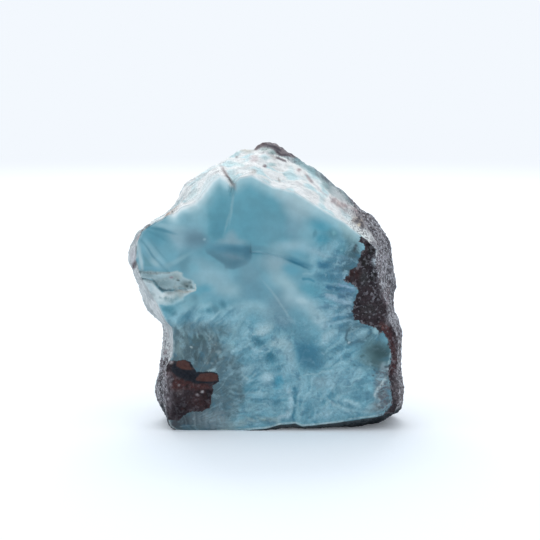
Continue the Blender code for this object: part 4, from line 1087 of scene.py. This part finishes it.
# %% Places as seen from the front
viewer = np.array(camera.location) / MM + np.array(FACE_FRAME_SHIFT)
pull = viewer[1] / (viewer[1] - depth)
seen_x = viewer[0] + pull * (x - viewer[0]) + 0.6 * warp_x
seen_z = viewer[2] + pull * (z - viewer[2]) + 0.6 * warp_z
to_viewer = viewer - points
to_viewer /= np.linalg.norm(to_viewer, axis=1)[:, None]
turned_to_front = smooth_step(-0.05, 0.12, (outward() * to_viewer).sum(axis=1))
from_front = np.where(on_face, 0.0, turned_to_front)
from_front *= 1.0 - smooth_step(5.0, 11.0, depth) * (x < -20.0)
chalky_flank = turned_to_front * ~on_face * smooth_step(19.5, 22.5, seen_z) * (x < -20.0)
basalt = basalt * (1.0 - chalky_flank)
side.lay((172, 182, 188), 0.6 * chalky_flank * smooth_step(-0.3, 0.3, streaks))
print("points of the sides seen from the front:", int((from_front > 0.5).sum()))

# %% Paint marks on the upper slope
side.move(seen_x, seen_z, from_front)
side.band((240, 246, 250), 0.7, 3.0, [(-24.6, 63.4), (-20, 66.0), (-16.6, 71.0), (-13.4, 73.6)])
side.band((188, 196, 202), 0.4, 0.6, [(-24.4, 66.0), (-22.0, 70.2), (-20.4, 71.4), (-16.4, 72.6)])
side.blot((204, 230, 236), 0.8, -21.0, 67.6, 2.0, 1.6, 35)
side.blot((170, 206, 216), 0.8, -23.0, 65.2, 0.6, 0.35)
side.blot((178, 172, 170), 0.8, -26.0, 63.6, 1.6, 1.2, 50)
side.blot((206, 182, 170), 0.8, -26.6, 61.4, 0.9, 0.6)
side.blot((140, 98, 74), 0.9, -27.6, 61.7, 0.4, 0.6, -30)
side.blot((136, 152, 160), 0.7, -30.2, 59.2, 1.6, 0.5, 20)
for speck_x, speck_z in ((-33.0, 57.8), (-33.9, 57.0), (-34.7, 56.5), (-32.4, 58.4)):
    side.blot((54, 50, 54), 0.9, speck_x, speck_z, 0.5, 0.35)
side.blot((164, 156, 162), 0.8, -35.6, 55.2, 0.7, 1.2)
side.blot((188, 193, 202), 0.9, -37.1, 50.0, 0.9, 3.2)
side.blot((92, 84, 92), 0.9, -36.9, 47.2, 0.5, 1.1, -20)
side.band((112, 130, 138), 0.7, 0.4, [(-36.0, 52.2), (-36.1, 49.4), (-36.5, 46.8)])
side.blot((192, 216, 220), 0.8, -8.6, 79.0, 1.6, 0.9)
side.blot((130, 132, 140), 0.8, -8.3, 77.1, 0.4, 0.3)
side.blot((206, 206, 200), 0.7, -5.4, 79.2, 1.6, 0.7)
side.blot((176, 184, 182), 0.6, -6.6, 80.2, 1.4, 0.4)
side.blot((214, 204, 209), 0.7, -3.6, 76.8, 1.2, 0.8)
side.blot((186, 182, 180), 0.75, -3.8, 73.3, 0.8, 0.7)
side.band((204, 232, 238), 0.7, 0.8, [(-11.4, 75.2), (-9.0, 75.5), (-6.6, 75.2)])
side.blot((196, 212, 212), 0.8, -0.2, 79.8, 1.4, 0.6)
side.blot((146, 176, 180), 0.8, 1.8, 78.8, 1.1, 0.6)
side.blot((124, 108, 114), 0.85, -0.4, 74.7, 0.5, 0.4)
side.blot((180, 212, 218), 0.8, 1.6, 75.2, 1.0, 0.5)
side.blot((178, 176, 176), 0.75, 3.6, 70.9, 0.3, 0.6, 20)
side.blot((160, 138, 142), 0.7, 8.8, 73.6, 0.6, 0.35)
side.blot((158, 140, 144), 0.7, 11.4, 71.6, 1.4, 0.35, -46)
side.blot((138, 126, 132), 0.6, 12.4, 70.6, 0.5, 0.3, -46)
side.band((172, 174, 181), 0.5, 0.4, [(12.4, 70.4), (14.0, 69.3), (15.0, 68.0), (16.6, 67.0)])

CAP = [
    (-3.0, 79.6), (-2.0, 80.9), (-0.5, 82.4), (2.6, 82.4), (5, 80.4), (8, 78.6), (11, 77.0),
    (10.2, 76.0), (8.8, 75.8), (8.0, 76.6), (6.4, 77.3), (4.4, 77.7), (3.2, 78.2), (2.2, 79.3),
    (0.8, 80.3), (-0.8, 80.5), (-2.0, 80.0),
]
side.pool((124, 116, 122), 0.9, CAP, 0.3)
for path in ([(-0.6, 81.2), (2.0, 80.4), (4.0, 79.2)], [(2.8, 79.0), (4.2, 77.9), (6.6, 77.6)],
             [(6.0, 78.6), (8.6, 77.2)], [(3.0, 77.3), (5.2, 76.3)]):
    side.band((78, 70, 78), 0.85, 0.5, path)
side.band((104, 90, 94), 0.8, 0.7, [(-2.9, 79.8), (-2.0, 80.7), (-0.4, 81.5)])
RIDGE_GREY = [
    (13.2, 74.6), (16.6, 73.4), (19.6, 69.4), (23.0, 67.0), (27.0, 64.0), (26.4, 62.6), (25.0, 62.9),
    (22.8, 64.0), (20.4, 65.8), (18.0, 66.9), (16.6, 68.8), (15.0, 71.0), (13.6, 72.2),
]
side.band((140, 176, 186), 0.9, 2.0, [(8.8, 76.2), (11.4, 74.4), (13.4, 73.0)])
side.pool((122, 144, 152), 0.9, RIDGE_GREY, 0.4)
side.blot((96, 110, 120), 0.8, 16.6, 71.6, 1.0, 0.9)
side.blot((98, 108, 120), 0.8, 24.2, 64.8, 1.6, 0.7, -35)
side.blot((156, 186, 193), 0.8, 16.2, 69.6, 1.3, 0.7, -45)
side.blot((110, 116, 126), 0.7, 20.2, 67.0, 1.4, 0.5, -35)
side.blot((214, 210, 213), 0.8, 21.0, 64.4, 3.6, 1.3, -36)
side.blot((206, 218, 224), 0.75, 19.8, 67.2, 2.6, 1.3, -42)
side.blot((216, 224, 229), 0.75, 23.6, 62.0, 3.0, 1.4, -34)
side.blot((186, 190, 196), 0.6, 27.2, 60.4, 1.8, 1.2, -34)
fringe(side, [(18.2, 66.6), (24.6, 61.8)], (-110, 30), 1.3, 0.6,
       ((226, 230, 235), (186, 174, 178), (166, 156, 161), (214, 204, 204)), 0.7, 64, 61)
fringe(side, [(13.6, 73.8), (19.0, 69.6), (26.4, 63.6)], (-80, -10), 1.6, 0.6,
       ((104, 118, 128), (168, 188, 195), (136, 150, 159)), 0.7, 70, 62)
fringe(side, [(24.0, 60.6), (28.6, 57.6), (32.4, 52.0)], (-90, 60), 1.5, 0.5,
       ((58, 54, 60), (214, 218, 223), (130, 126, 134), (176, 174, 180)), 0.75, 90, 63)
side.band((158, 154, 160), 0.6, 0.4, [(17.4, 66.4), (19.0, 64.6), (20.2, 64.0), (22.4, 62.2)])
side.blot((148, 140, 144), 0.85, 26.2, 61.4, 2.4, 1.6, -30)
side.blot((178, 166, 156), 0.8, 25.2, 59.0, 1.6, 1.5, -30)
side.blot((132, 132, 140), 0.9, 28.6, 59.0, 1.6, 2.4, 10)
for speck_x, speck_z, size in ((24.9, 59.1, 0.55), (26.0, 58.7, 0.45), (26.4, 57.5, 0.5),
                               (25.4, 60.2, 0.4), (29.3, 58.8, 0.5), (30.1, 55.7, 0.7),
                               (31.7, 54.2, 0.6), (28.3, 57.4, 0.35), (27.4, 60.6, 0.35)):
    side.blot((60, 56, 62), 0.9, speck_x, speck_z, size, 1.3 * size)
side.blot((212, 198, 176), 0.85, 25.6, 58.3, 0.4, 0.4)
side.blot(WORN_GREY, 0.9, 31.6, 54.0, 2.8, 3.6, -30)
for path in ([(26.4, 57.0), (29.0, 55.2), (32.4, 52.6)], [(29.4, 56.6), (31.6, 54.8), (34, 52.4)],
             [(29.8, 52.6), (31.6, 51.0), (33.4, 49.4)]):
    side.band((200, 206, 213), 0.8, 0.6, path)
side.band((232, 240, 244), 0.85, 1.6, [(20.0, 61.4), (24.0, 58.6), (26.6, 56.4), (28.6, 54.6)])
print("painted the upper slope")

# %% Whiten the rim
face.move(x + 0.3 * shake_x, z + 0.3 * shake_z, everywhere)
RIM_WHITE = [(-25.6, 61.6), (-24.0, 63.2), (-20.0, 64.9), (-18.2, 66.8), (-15.3, 70.9),
             (-12.8, 72.6), (-10.6, 71.0)]
RIM_WHITE_RIGHT = [(-8.6, 71.2), (-7.4, 72.0), (-4.0, 72.5), (-1.0, 70.8), (2.0, 69.3), (8.0, 67.9),
                   (12.0, 65.3), (16.0, 62.8), (22.0, 59.2), (26.0, 56.1)]
face.band((160, 199, 211), 0.65, 6.6, RIM_WHITE, 0.9)
face.band((204, 226, 234), 0.8, 3.6, RIM_WHITE, 0.9)
face.band((234, 244, 248), 1.0, 1.6, RIM_WHITE, 0.8)
face.band((176, 207, 217), 0.75, 4.8, RIM_WHITE_RIGHT, 0.9)
face.blot((112, 158, 174), 0.6, -22.6, 60.2, 2.0, 1.6)
face.band((228, 240, 245), 0.95, 1.1, RIM_WHITE_RIGHT, 0.8)

# The path of a painted highlight along the crack's lit edge.
CRACK_LIT_EDGE = [(-13.2, 74.4), (-11.6, 72.3), (-10.4, 70.8), (-9.7, 69.4)]
face.blot((132, 172, 185), 0.7, -9.4, 64.6, 5.4, 0.3, 82)
face.blot((122, 163, 177), 0.6, -10.8, 59.4, 3.2, 0.28, 76)
# Painted highlight in white along the crack's lit edge; the grey and dark strokes beside it are the crack's
# grey wall with painted shade.
for sheet in (face, side):
    sheet.band((242, 247, 250), 0.95, 0.9, CRACK_LIT_EDGE)
    sheet.blot((182, 180, 184), 0.9, -11.0, 73.0, 2.4, 0.4, -52)
    sheet.blot((166, 163, 167), 0.9, -9.7, 70.8, 2.4, 0.5, -64)
    sheet.blot((124, 114, 116), 0.75, -10.2, 72.0, 2.6, 0.2, -56)
side.blot((238, 246, 250), 0.8, -6.4, 73.8, 2.6, 1.0)
BOTTOM_RIM = [(-14.0, 0.1), (-6.0, 0.4), (0.0, 1.0), (4.0, 2.1), (8.2, 2.4), (10.0, 1.6),
              (14.0, 1.9), (22.0, 3.0), (31.0, 4.4), (36.0, 5.5)]
face.band((180, 198, 200), 0.7, 0.45, BOTTOM_RIM)
worn_line = on_face * (1.0 - smooth_step(0.1, 0.6, rim_distance)) * (x < 20.0)
face.lay((190, 206, 212), 0.6 * worn_line * smooth_step(-0.4, 0.3, grain(points, 1.6, 3.9)))
print("whitened the rim")

# %% Paint the basalt
rock = Canvas((60, 53, 57), x + 0.4 * shake_x, z + 0.4 * shake_z, everywhere)
weathered = np.where(on_face, 0.0, 1.0)
rock.lay(WORN_GREY, 0.9 * weathered * smooth_step(-0.6, 0.1, grain(points, 7.0, 6.6) + 0.8 * streaks))
rock.lay((160, 160, 168), 0.7 * weathered * smooth_step(0.12, 0.4, streaks + 0.3 * blotches))
rock.lay((84, 72, 74), 0.85 * weathered * smooth_step(0.0, 0.35, grain(points, 12.0, 1.7)))
rock.lay((58, 54, 60), 0.7 * weathered * smooth_step(0.1, 0.4, grain(points, 6.0, 4.2)))
rock.move(np.where(on_face, x + 0.4 * shake_x, seen_x), np.where(on_face, z + 0.4 * shake_z, seen_z),
          np.where(on_face, 1.0, turned_to_front))
rock.blot((40, 35, 40), 0.9, 29.0, 51.4, 1.4, 1.7)
rock.blot((42, 36, 40), 0.85, 27.4, 48.0, 1.8, 2.0)
rock.blot((76, 70, 72), 0.7, 27.4, 51.4, 0.8, 1.0)
rock.blot((66, 50, 50), 0.8, 24.4, 44.4, 2.4, 1.6)
rock.blot((36, 32, 38), 0.85, 29.8, 44.4, 1.1, 2.4)
rock.blot((62, 66, 68), 0.7, 27.2, 43.4, 1.2, 2.0)
rock.blot((48, 43, 47), 0.7, 25.4, 35.4, 1.2, 3.4)
rock.blot((50, 46, 50), 0.7, 31.4, 38.4, 1.2, 3.0)
rock.blot((70, 70, 72), 0.6, 28.6, 34.4, 2.2, 1.8)
rock.blot((98, 68, 66), 0.85, 33.2, 29.4, 1.7, 0.9, -40)
rock.band((74, 52, 55), 0.9, 1.6, [(33.4, 28.6), (35.2, 26.0), (35.9, 22.0), (35.6, 17.0)])
rock.blot((176, 194, 206), 0.9, 29.9, 48.0, 0.6, 1.3)
rock.blot((136, 130, 138), 0.8, 31.4, 49.0, 1.0, 1.6)
rock.blot((142, 144, 152), 0.85, 32.4, 44.0, 1.3, 4.8)
rock.blot((82, 80, 88), 0.8, 34.2, 46.4, 0.4, 1.4)
rock.blot((92, 92, 100), 0.8, 35.2, 42.0, 0.5, 3.4)
rock.blot((124, 118, 126), 0.8, 33.2, 38.0, 0.8, 2.4)
rock.blot((150, 152, 160), 0.8, 35.2, 32.6, 1.3, 2.4, -25)
rock.blot((96, 90, 94), 0.7, 36.6, 24.0, 0.7, 4.2)
rock.blot((122, 118, 124), 0.75, 36.8, 12.6, 1.0, 5.0)
rock.blot((66, 62, 68), 0.8, 35.0, 7.2, 1.4, 1.4)
MAROON_TOP = [(-28.4, 17.4), (-26.6, 16.6), (-24.6, 15.0), (-20.4, 14.0), (-16.4, 13.7),
              (-15.2, 12.4), (-18.0, 12.0), (-22.0, 12.2), (-27.4, 11.8)]
rock.pool(MAROON, 0.9, MAROON_TOP, 0.6)
rock.blot((64, 48, 50), 0.8, -18.4, 9.0, 3.0, 2.2)
rock.blot((46, 40, 45), 0.85, -24.4, 6.0, 2.6, 2.4)
rock.blot((44, 42, 46), 0.8, -16.6, 10.6, 1.3, 1.4)
rock.blot((96, 90, 94), 0.7, -24.2, 11.4, 1.0, 0.8)
BETWEEN = [(-26.5, 18.4), (-25.6, 19.8), (-23.2, 20.8), (-21.2, 20.0), (-20.3, 17.9), (-18.6, 17.2),
           (-15.8, 17.3), (-13.3, 16.7), (-13.2, 14.0), (-16.6, 13.8), (-19.8, 13.9), (-22.4, 14.6),
           (-24.6, 15.6), (-26.6, 17.2)]
rock.pool(NIGHT, 0.95, BETWEEN, 0.3)
BRICK_LEFT = [(-25.3, 20.0), (-23.1, 20.5), (-21.6, 19.5), (-20.8, 17.4), (-23.6, 17.7), (-25.3, 18.7)]
BRICK_RIGHT = [(-20.0, 14.9), (-18.5, 16.6), (-15.9, 16.9), (-13.8, 16.2), (-13.7, 14.5),
               (-16.7, 14.3), (-18.8, 14.5)]
for brick in (BRICK_LEFT, BRICK_RIGHT):
    rock.pool(BRICK, 0.95, brick, 0.15)
fringe(rock, [(-25.6, 18.8), (-22.4, 18.4)], (-24, -6), 2.2, 0.35, ((100, 72, 66), (78, 56, 54)), 0.5, 14, 41)
fringe(rock, [(-18.8, 15.4), (-15.6, 15.6)], (-4, 10), 2.0, 0.35, ((100, 72, 66), (78, 56, 54)), 0.5, 14, 42)
rock.blot((118, 114, 122), 0.8, -27.6, 10.0, 1.1, 5.0)
rock.blot((130, 128, 136), 0.7, -27.4, 15.4, 0.9, 1.4)
fringe(rock, [(-27.6, 16.0), (-27.0, 6.0)], (0, 180), 1.4, 0.6,
       ((50, 46, 50), (168, 168, 176), (90, 84, 90)), 0.7, 40, 43)
fringe(rock, [(-24.6, 12.6), (-16.4, 11.6), (-23.0, 6.4), (-16.6, 7.4)], (0, 720), 1.2, 0.7,
       ((40, 34, 38), (84, 72, 76), (64, 46, 46)), 0.6, 50, 44)
rock.blot((204, 206, 212), 0.9, -17.9, 11.6, 0.4, 0.35)
rock.blot((190, 190, 196), 0.9, -26.8, 19.6, 0.6, 0.45)
rock.blot((150, 146, 152), 0.8, -19.4, 10.8, 0.5, 0.4)
rock.blot((160, 160, 166), 0.8, -24.6, 13.2, 0.4, 0.3)
rock.move(x, z, everywhere)
# Painted shade under the stone's front edge: the rock that faces down near the floor is painted dark, and it
# gets no specks.
underside_shade = underside * (1.0 - smooth_step(8.0, 18.0, depth))
rock.lay((40, 50, 56), 0.9 * underside_shade)
print("painted the basalt")

# %% Hand the painting to the mesh
def keep_number(name, values):
    layer = skin_mesh.attributes.new(name, "FLOAT", "POINT")
    layer.data.foreach_set("value", np.asarray(values, np.float32))


def to_light(values):
    """Screen colours, 0 to 255, as light values."""
    share = np.clip(values / 255.0, 0.0, 1.0)
    return np.where(share <= 0.04045, share / 12.92, ((share + 0.055) / 1.055) ** 2.4)


GLOSS_SHARE = 0.02
LIGHT_ON_FACE = np.array((0.97, 1.01, 1.06))


def keep_colour(name, values):
    """The light that the room throws on the face is divided out, so a colour looks as painted."""
    pigment = np.clip((to_light(values) - GLOSS_SHARE) / LIGHT_ON_FACE, 0.004, 0.92)
    layer = skin_mesh.attributes.new(name, "FLOAT_COLOR", "POINT")
    layer.data.foreach_set("color", np.column_stack([pigment, np.ones(point_count)])
                           .astype(np.float32).ravel())


side.move(x, z, everywhere)
# The same painted shade under the front edge, on the rind.
side.lay((50, 60, 66), 0.9 * underside_shade)
keep_colour("paint", np.where(on_face[:, None], face.paint, side.paint))
keep_colour("rock", rock.paint)
rough = np.where(on_face, np.maximum(basalt, 0.8 * chipped), 1.0)
pitted = smooth_step(-8.0, -1.0, past_start)
pitted = np.maximum(pitted, smooth_step(20.0, 25.0, seen_x) * smooth_step(-3.0, 2.0, depth))
grey_foot = smooth_step(30.0, 32.6, x) * (1.0 - smooth_step(16.0, 20.0, z))
salted = np.where(on_face, grey_foot, pitted) * (1.0 - basalt) * (1.0 - underside_shade)
salted *= 1.0 - vein
glitter_zone = np.exp(-((x - 30.0) / 1.6) ** 2 - ((z - 44.0) / 3.0) ** 2)
in_clump = on_face & (x < 0.0)
specked = np.where(on_face, np.where(x < 0.0, 0.22, 0.65 + 0.35 * glitter_zone), 0.85)
specked *= 1.0 - underside_shade
specked *= 1.0 - smooth_step(-0.3, 0.3, depth_inside(BETWEEN, rock.across, rock.up)) * in_clump
smoky_share = smooth_step(-1.0, 1.0, depth_inside(SMOKY, face.across, face.up))
keep_number("basalt", basalt)
keep_number("rough", rough)
keep_number("salted", salted)
keep_number("specked", specked)
keep_number("outside", np.where(on_face, 0.0, 1.0 - underside_shade))
eye_share = np.exp(-((x - 30.6) / 3.4) ** 2 - ((z - 22.0) / 3.4) ** 2)
pool_share = np.exp(-((x - 11.4) / 2.8) ** 2 - ((z - 21.8) / 2.8) ** 2)
quiet = np.maximum(np.maximum(0.35 * smoky_share, chipped), np.maximum(eye_share, pool_share))
keep_number("mottled", np.where(on_face, mottled * (1.0 - quiet), 0.0))

# %% [markdown]
# ## Fibres
# Pectolite grows as needles that fan out from the rock. Fibres are stretched noise: fine
# across the needle and long along it. So each point is told how far it is along and across
# its fan, and the material stretches its noise with those two numbers.

# %% Fans of fibres
FANS = [
    ((44.0, 38.0), 16.0, 31.0, 1.0), ((40.0, 15.0), 7.0, 22.0, 0.8),
    ((12.0, -40.0), 39.0, 58.0, 0.9), ((-23.0, 2.0), 6.0, 34.0, 0.8),
]
best_share = np.zeros(point_count)
second_share = np.zeros(point_count)
fan_across = np.zeros(point_count)
fan_along = np.zeros(point_count)
fan_number = np.zeros(point_count)
for number, ((fan_x, fan_z), near, far_end, strength) in enumerate(FANS):
    reach = np.hypot(x - fan_x, z - fan_z)
    turn = np.arctan2(z - fan_z, x - fan_x) % (2.0 * math.pi)
    share = strength * smooth_step(near * 0.6, near, reach)
    share *= 1.0 - smooth_step(0.55 * far_end, far_end, reach)
    wins = share > best_share
    second_share = np.where(wins, best_share, np.maximum(second_share, share))
    fan_across = np.where(wins, turn * 0.5 * (near + far_end), fan_across)
    fan_along = np.where(wins, reach, fan_along)
    fan_number = np.where(wins, float(number), fan_number)
    best_share = np.maximum(best_share, share)
fan_across = np.where(on_face, fan_across, depth)
fan_along = np.where(on_face, fan_along, slanted)
fan_number = np.where(on_face, fan_number, float(len(FANS)))
fan_share = np.clip(2.0 * (best_share - second_share), 0.0, best_share)
fan_share *= (1.0 - basalt) * (1.0 - quiet)
keep_number("fibre", np.where(on_face, fan_share, 0.0))
layer = skin_mesh.attributes.new("strand", "FLOAT_VECTOR", "POINT")
layer.data.foreach_set("vector", np.column_stack([fan_across, fan_along, fan_number * 7.0])
                       .astype(np.float32).ravel())
print("fans of fibres:", len(FANS))

# %% [markdown]
# ## The stone's material
# One material covers the whole stone, because the blue, the chalk and the basalt have grown
# into each other. The painting gives the broad colour. Noise nodes add what is finer than
# the mesh: clouds, pale puffs and dark holes, fibres, salt-and-pepper grains and the crystals
# of the basalt.

# %% Material of the stone
finish = bpy.data.materials.new("larimar")
finish.use_nodes = True
tree = finish.node_tree
shader = tree.nodes["Principled BSDF"]


def share_of(name):
    return add_node(tree, "ShaderNodeAttribute", attribute_name=name).outputs["Fac"]


def soft_noise(place, scale, detail=3.0, roughness=0.5, distortion=0.0):
    plugs = {"Vector": place, "Scale": scale, "Detail": detail, "Roughness": roughness,
             "Distortion": distortion}
    return add_node(tree, "ShaderNodeTexNoise", plugs).outputs["Fac"]


metres = add_node(tree, "ShaderNodeTexCoord").outputs["Object"]
place = add_node(tree, "ShaderNodeVectorMath", {0: metres, "Scale": 1.0 / MM},
                 operation="SCALE").outputs["Vector"]
painted = add_node(tree, "ShaderNodeAttribute", attribute_name="paint").outputs["Color"]
basalt_share = share_of("basalt")
rough_share = share_of("rough")
mottle_share = share_of("mottled")

# %% Clouds, puffs and fibres
cloud = ramp_between(tree, soft_noise(place, 0.30, 4.0), 0.3, 0.7, 0.94, 1.07)
blue = mix_colours(tree, 1.0, painted, cloud, "MULTIPLY")
bent = add_node(tree, "ShaderNodeTexNoise", {"Vector": place, "Scale": 0.2, "Detail": 4.0})
bent_place = add_node(tree, "ShaderNodeVectorMath",
                      {0: bent.outputs["Color"], 1: (4.0, 4.0, 4.0), 2: place},
                      operation="MULTIPLY_ADD").outputs["Vector"]
PALE_PUFF = seen_colour(152, 190, 202)
DARK_HOLE = seen_colour(60, 112, 134)
puffs = soft_noise(bent_place, 0.34, 5.0, 0.62)
pale_puffs = maths(tree, "MULTIPLY", ramp_between(tree, puffs, 0.52, 0.70), mottle_share)
dark_holes = maths(tree, "MULTIPLY", ramp_between(tree, puffs, 0.48, 0.32), mottle_share)
blue = mix_colours(tree, maths(tree, "MULTIPLY", pale_puffs, 0.5), blue, PALE_PUFF)
blue = mix_colours(tree, maths(tree, "MULTIPLY", dark_holes, 0.6), blue, DARK_HOLE)
strand = add_node(tree, "ShaderNodeAttribute", attribute_name="strand").outputs["Vector"]
swing = add_node(tree, "ShaderNodeVectorMath",
                 {0: bent.outputs["Color"], 1: (3.2, 3.2, 0.0), 2: strand},
                 operation="MULTIPLY_ADD").outputs["Vector"]
stretched = add_node(tree, "ShaderNodeVectorMath", {0: swing, 1: (0.7, 0.14, 1.0)},
                     operation="MULTIPLY").outputs["Vector"]
needles = soft_noise(stretched, 1.0, 5.0, 0.6, 0.2)
fibre_share = share_of("fibre")
light_needles = maths(tree, "MULTIPLY", ramp_between(tree, needles, 0.50, 0.68), fibre_share)
dark_needles = maths(tree, "MULTIPLY", ramp_between(tree, needles, 0.50, 0.34), fibre_share)
blue = mix_colours(tree, maths(tree, "MULTIPLY", light_needles, 0.46), blue, PALE_PUFF)
blue = mix_colours(tree, maths(tree, "MULTIPLY", dark_needles, 0.5), blue, DARK_HOLE)
dust = ramp_between(tree, soft_noise(bent_place, 1.5, 5.0, 0.78), 0.32, 0.68, 0.80, 1.14)
dust = mix_colours(tree, mottle_share, (1.0, 1.0, 1.0, 1.0), dust)
blue = mix_colours(tree, 1.0, blue, dust, "MULTIPLY")

# %% Salt and pepper on the rind
speck_cells = add_node(tree, "ShaderNodeTexVoronoi", {"Vector": place, "Scale": 2.1})
speck_tone = add_node(tree, "ShaderNodeSeparateColor", {0: speck_cells.outputs["Color"]})
pepper = ramp_between(tree, speck_tone.outputs[0], 0.60, 0.80)
pepper = maths(tree, "MULTIPLY", pepper, share_of("salted"))
rind_grain = ramp_between(tree, soft_noise(stretched, 1.9, 5.0, 0.62), 0.34, 0.62, 0.90, 1.08)
rind_grain = mix_colours(tree, rough_share, (1.0, 1.0, 1.0, 1.0), rind_grain)
blue = mix_colours(tree, 1.0, blue, rind_grain, "MULTIPLY")
blue = mix_colours(tree, maths(tree, "MULTIPLY", pepper, 0.7), blue, seen_colour(84, 84, 92))

# %% Basalt
rock_painted = add_node(tree, "ShaderNodeAttribute", attribute_name="rock").outputs["Color"]
speck_share = share_of("specked")
outside_share = share_of("outside")
rock_noise = soft_noise(place, 1.9, 6.0, 0.74, 0.5)
rock_light = ramp_between(tree, rock_noise, 0.37, 0.65, 0.36, 1.75)
rock_light = mix_colours(tree, ramp_between(tree, speck_share, 0.0, 0.4), (1.0, 1.0, 1.0, 1.0),
                         rock_light)
basalt_colour = mix_colours(tree, 1.0, rock_painted, rock_light, "MULTIPLY")
upright = add_node(tree, "ShaderNodeVectorMath", {0: bent_place, 1: (0.7, 0.7, 0.16)},
                   operation="MULTIPLY").outputs["Vector"]
flecks = soft_noise(upright, 3.2, 4.0, 0.66)
fleck_light = ramp_between(tree, flecks, 0.40, 0.58, 0.40, 1.6)
basalt_colour = mix_colours(tree, outside_share, basalt_colour, fleck_light, "MULTIPLY")
rock_cells = add_node(tree, "ShaderNodeTexVoronoi", {"Vector": bent_place, "Scale": 1.5})
rock_tone = add_node(tree, "ShaderNodeSeparateColor", {0: rock_cells.outputs["Color"]})
pale_crystal = maths(tree, "MULTIPLY", ramp_between(tree, rock_tone.outputs[0], 0.72, 0.90),
                     speck_share)
basalt_colour = mix_colours(tree, maths(tree, "MULTIPLY", pale_crystal, 0.38), basalt_colour,
                            seen_colour(164, 164, 172))
dark_pit = maths(tree, "MULTIPLY", ramp_between(tree, rock_tone.outputs[1], 0.66, 0.82),
                 speck_share)
basalt_colour = mix_colours(tree, maths(tree, "MULTIPLY", dark_pit, 0.6), basalt_colour,
                            seen_colour(38, 36, 42))
white_speck = maths(tree, "MULTIPLY", ramp_between(tree, speck_tone.outputs[1], 0.93, 0.99),
                    maths(tree, "POWER", speck_share, 2.0))
basalt_colour = mix_colours(tree, maths(tree, "MULTIPLY", white_speck, 0.35), basalt_colour,
                            seen_colour(200, 202, 210))
pale_fleck = maths(tree, "MULTIPLY", ramp_between(tree, flecks, 0.55, 0.66), outside_share)
basalt_colour = mix_colours(tree, maths(tree, "MULTIPLY", pale_fleck, 0.6), basalt_colour,
                            seen_colour(204, 210, 216))
for tone, low, high, speck_colour in ((0, 0.74, 0.84, (50, 48, 54)), (2, 0.80, 0.92, (206, 210, 216))):
    side_speck = maths(tree, "MULTIPLY", ramp_between(tree, speck_tone.outputs[tone], low, high),
                       outside_share)
    basalt_colour = mix_colours(tree, maths(tree, "MULTIPLY", side_speck, 0.6), basalt_colour,
                                seen_colour(*speck_colour))
ragged_share = maths(tree, "ADD", basalt_share,
                     ramp_between(tree, soft_noise(place, 1.4, 4.0, 0.6), 0.3, 0.7, -0.24, 0.24))
rock_share = ramp_between(tree, ragged_share, 0.36, 0.64)
colour = mix_colours(tree, rock_share, blue, basalt_colour)
tree.links.new(colour, shader.inputs["Base Color"])

# %% Gloss and fine bumps
face_gloss = ramp_between(tree, soft_noise(place, 0.5, 3.0), 0.3, 0.7, 0.30, 0.42)
rough_gloss = ramp_between(tree, soft_noise(place, 1.3, 3.0), 0.3, 0.7, 0.55, 0.85)
gloss = add_node(tree, "ShaderNodeMix", {0: rough_share, 2: face_gloss, 3: rough_gloss})
tree.links.new(gloss.outputs[0], shader.inputs["Roughness"])
shader.inputs["Specular IOR Level"].default_value = 0.35
coarse_bump = add_node(tree, "ShaderNodeBump",
                       {"Strength": maths(tree, "MULTIPLY", rough_share, 0.7), "Distance": 0.7 * MM,
                        "Height": soft_noise(place, 1.1, 4.0, 0.6)})
fine = soft_noise(place, 3.2, 5.0, 0.7)
bump_strength = maths(tree, "ADD", maths(tree, "MULTIPLY", rough_share, 0.75), 0.06)
bump = add_node(tree, "ShaderNodeBump",
                {"Strength": bump_strength, "Distance": 0.35 * MM, "Height": fine,
                 "Normal": coarse_bump.outputs["Normal"]})
tree.links.new(bump.outputs["Normal"], shader.inputs["Normal"])
skin_mesh.materials.clear()
skin_mesh.materials.append(finish)
skin_mesh.shade_smooth()
print("nodes in the stone's material:", len(tree.nodes))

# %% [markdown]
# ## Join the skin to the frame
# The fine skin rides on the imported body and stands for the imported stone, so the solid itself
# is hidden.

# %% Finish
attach(skin, "root")
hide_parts("larimar_stone")
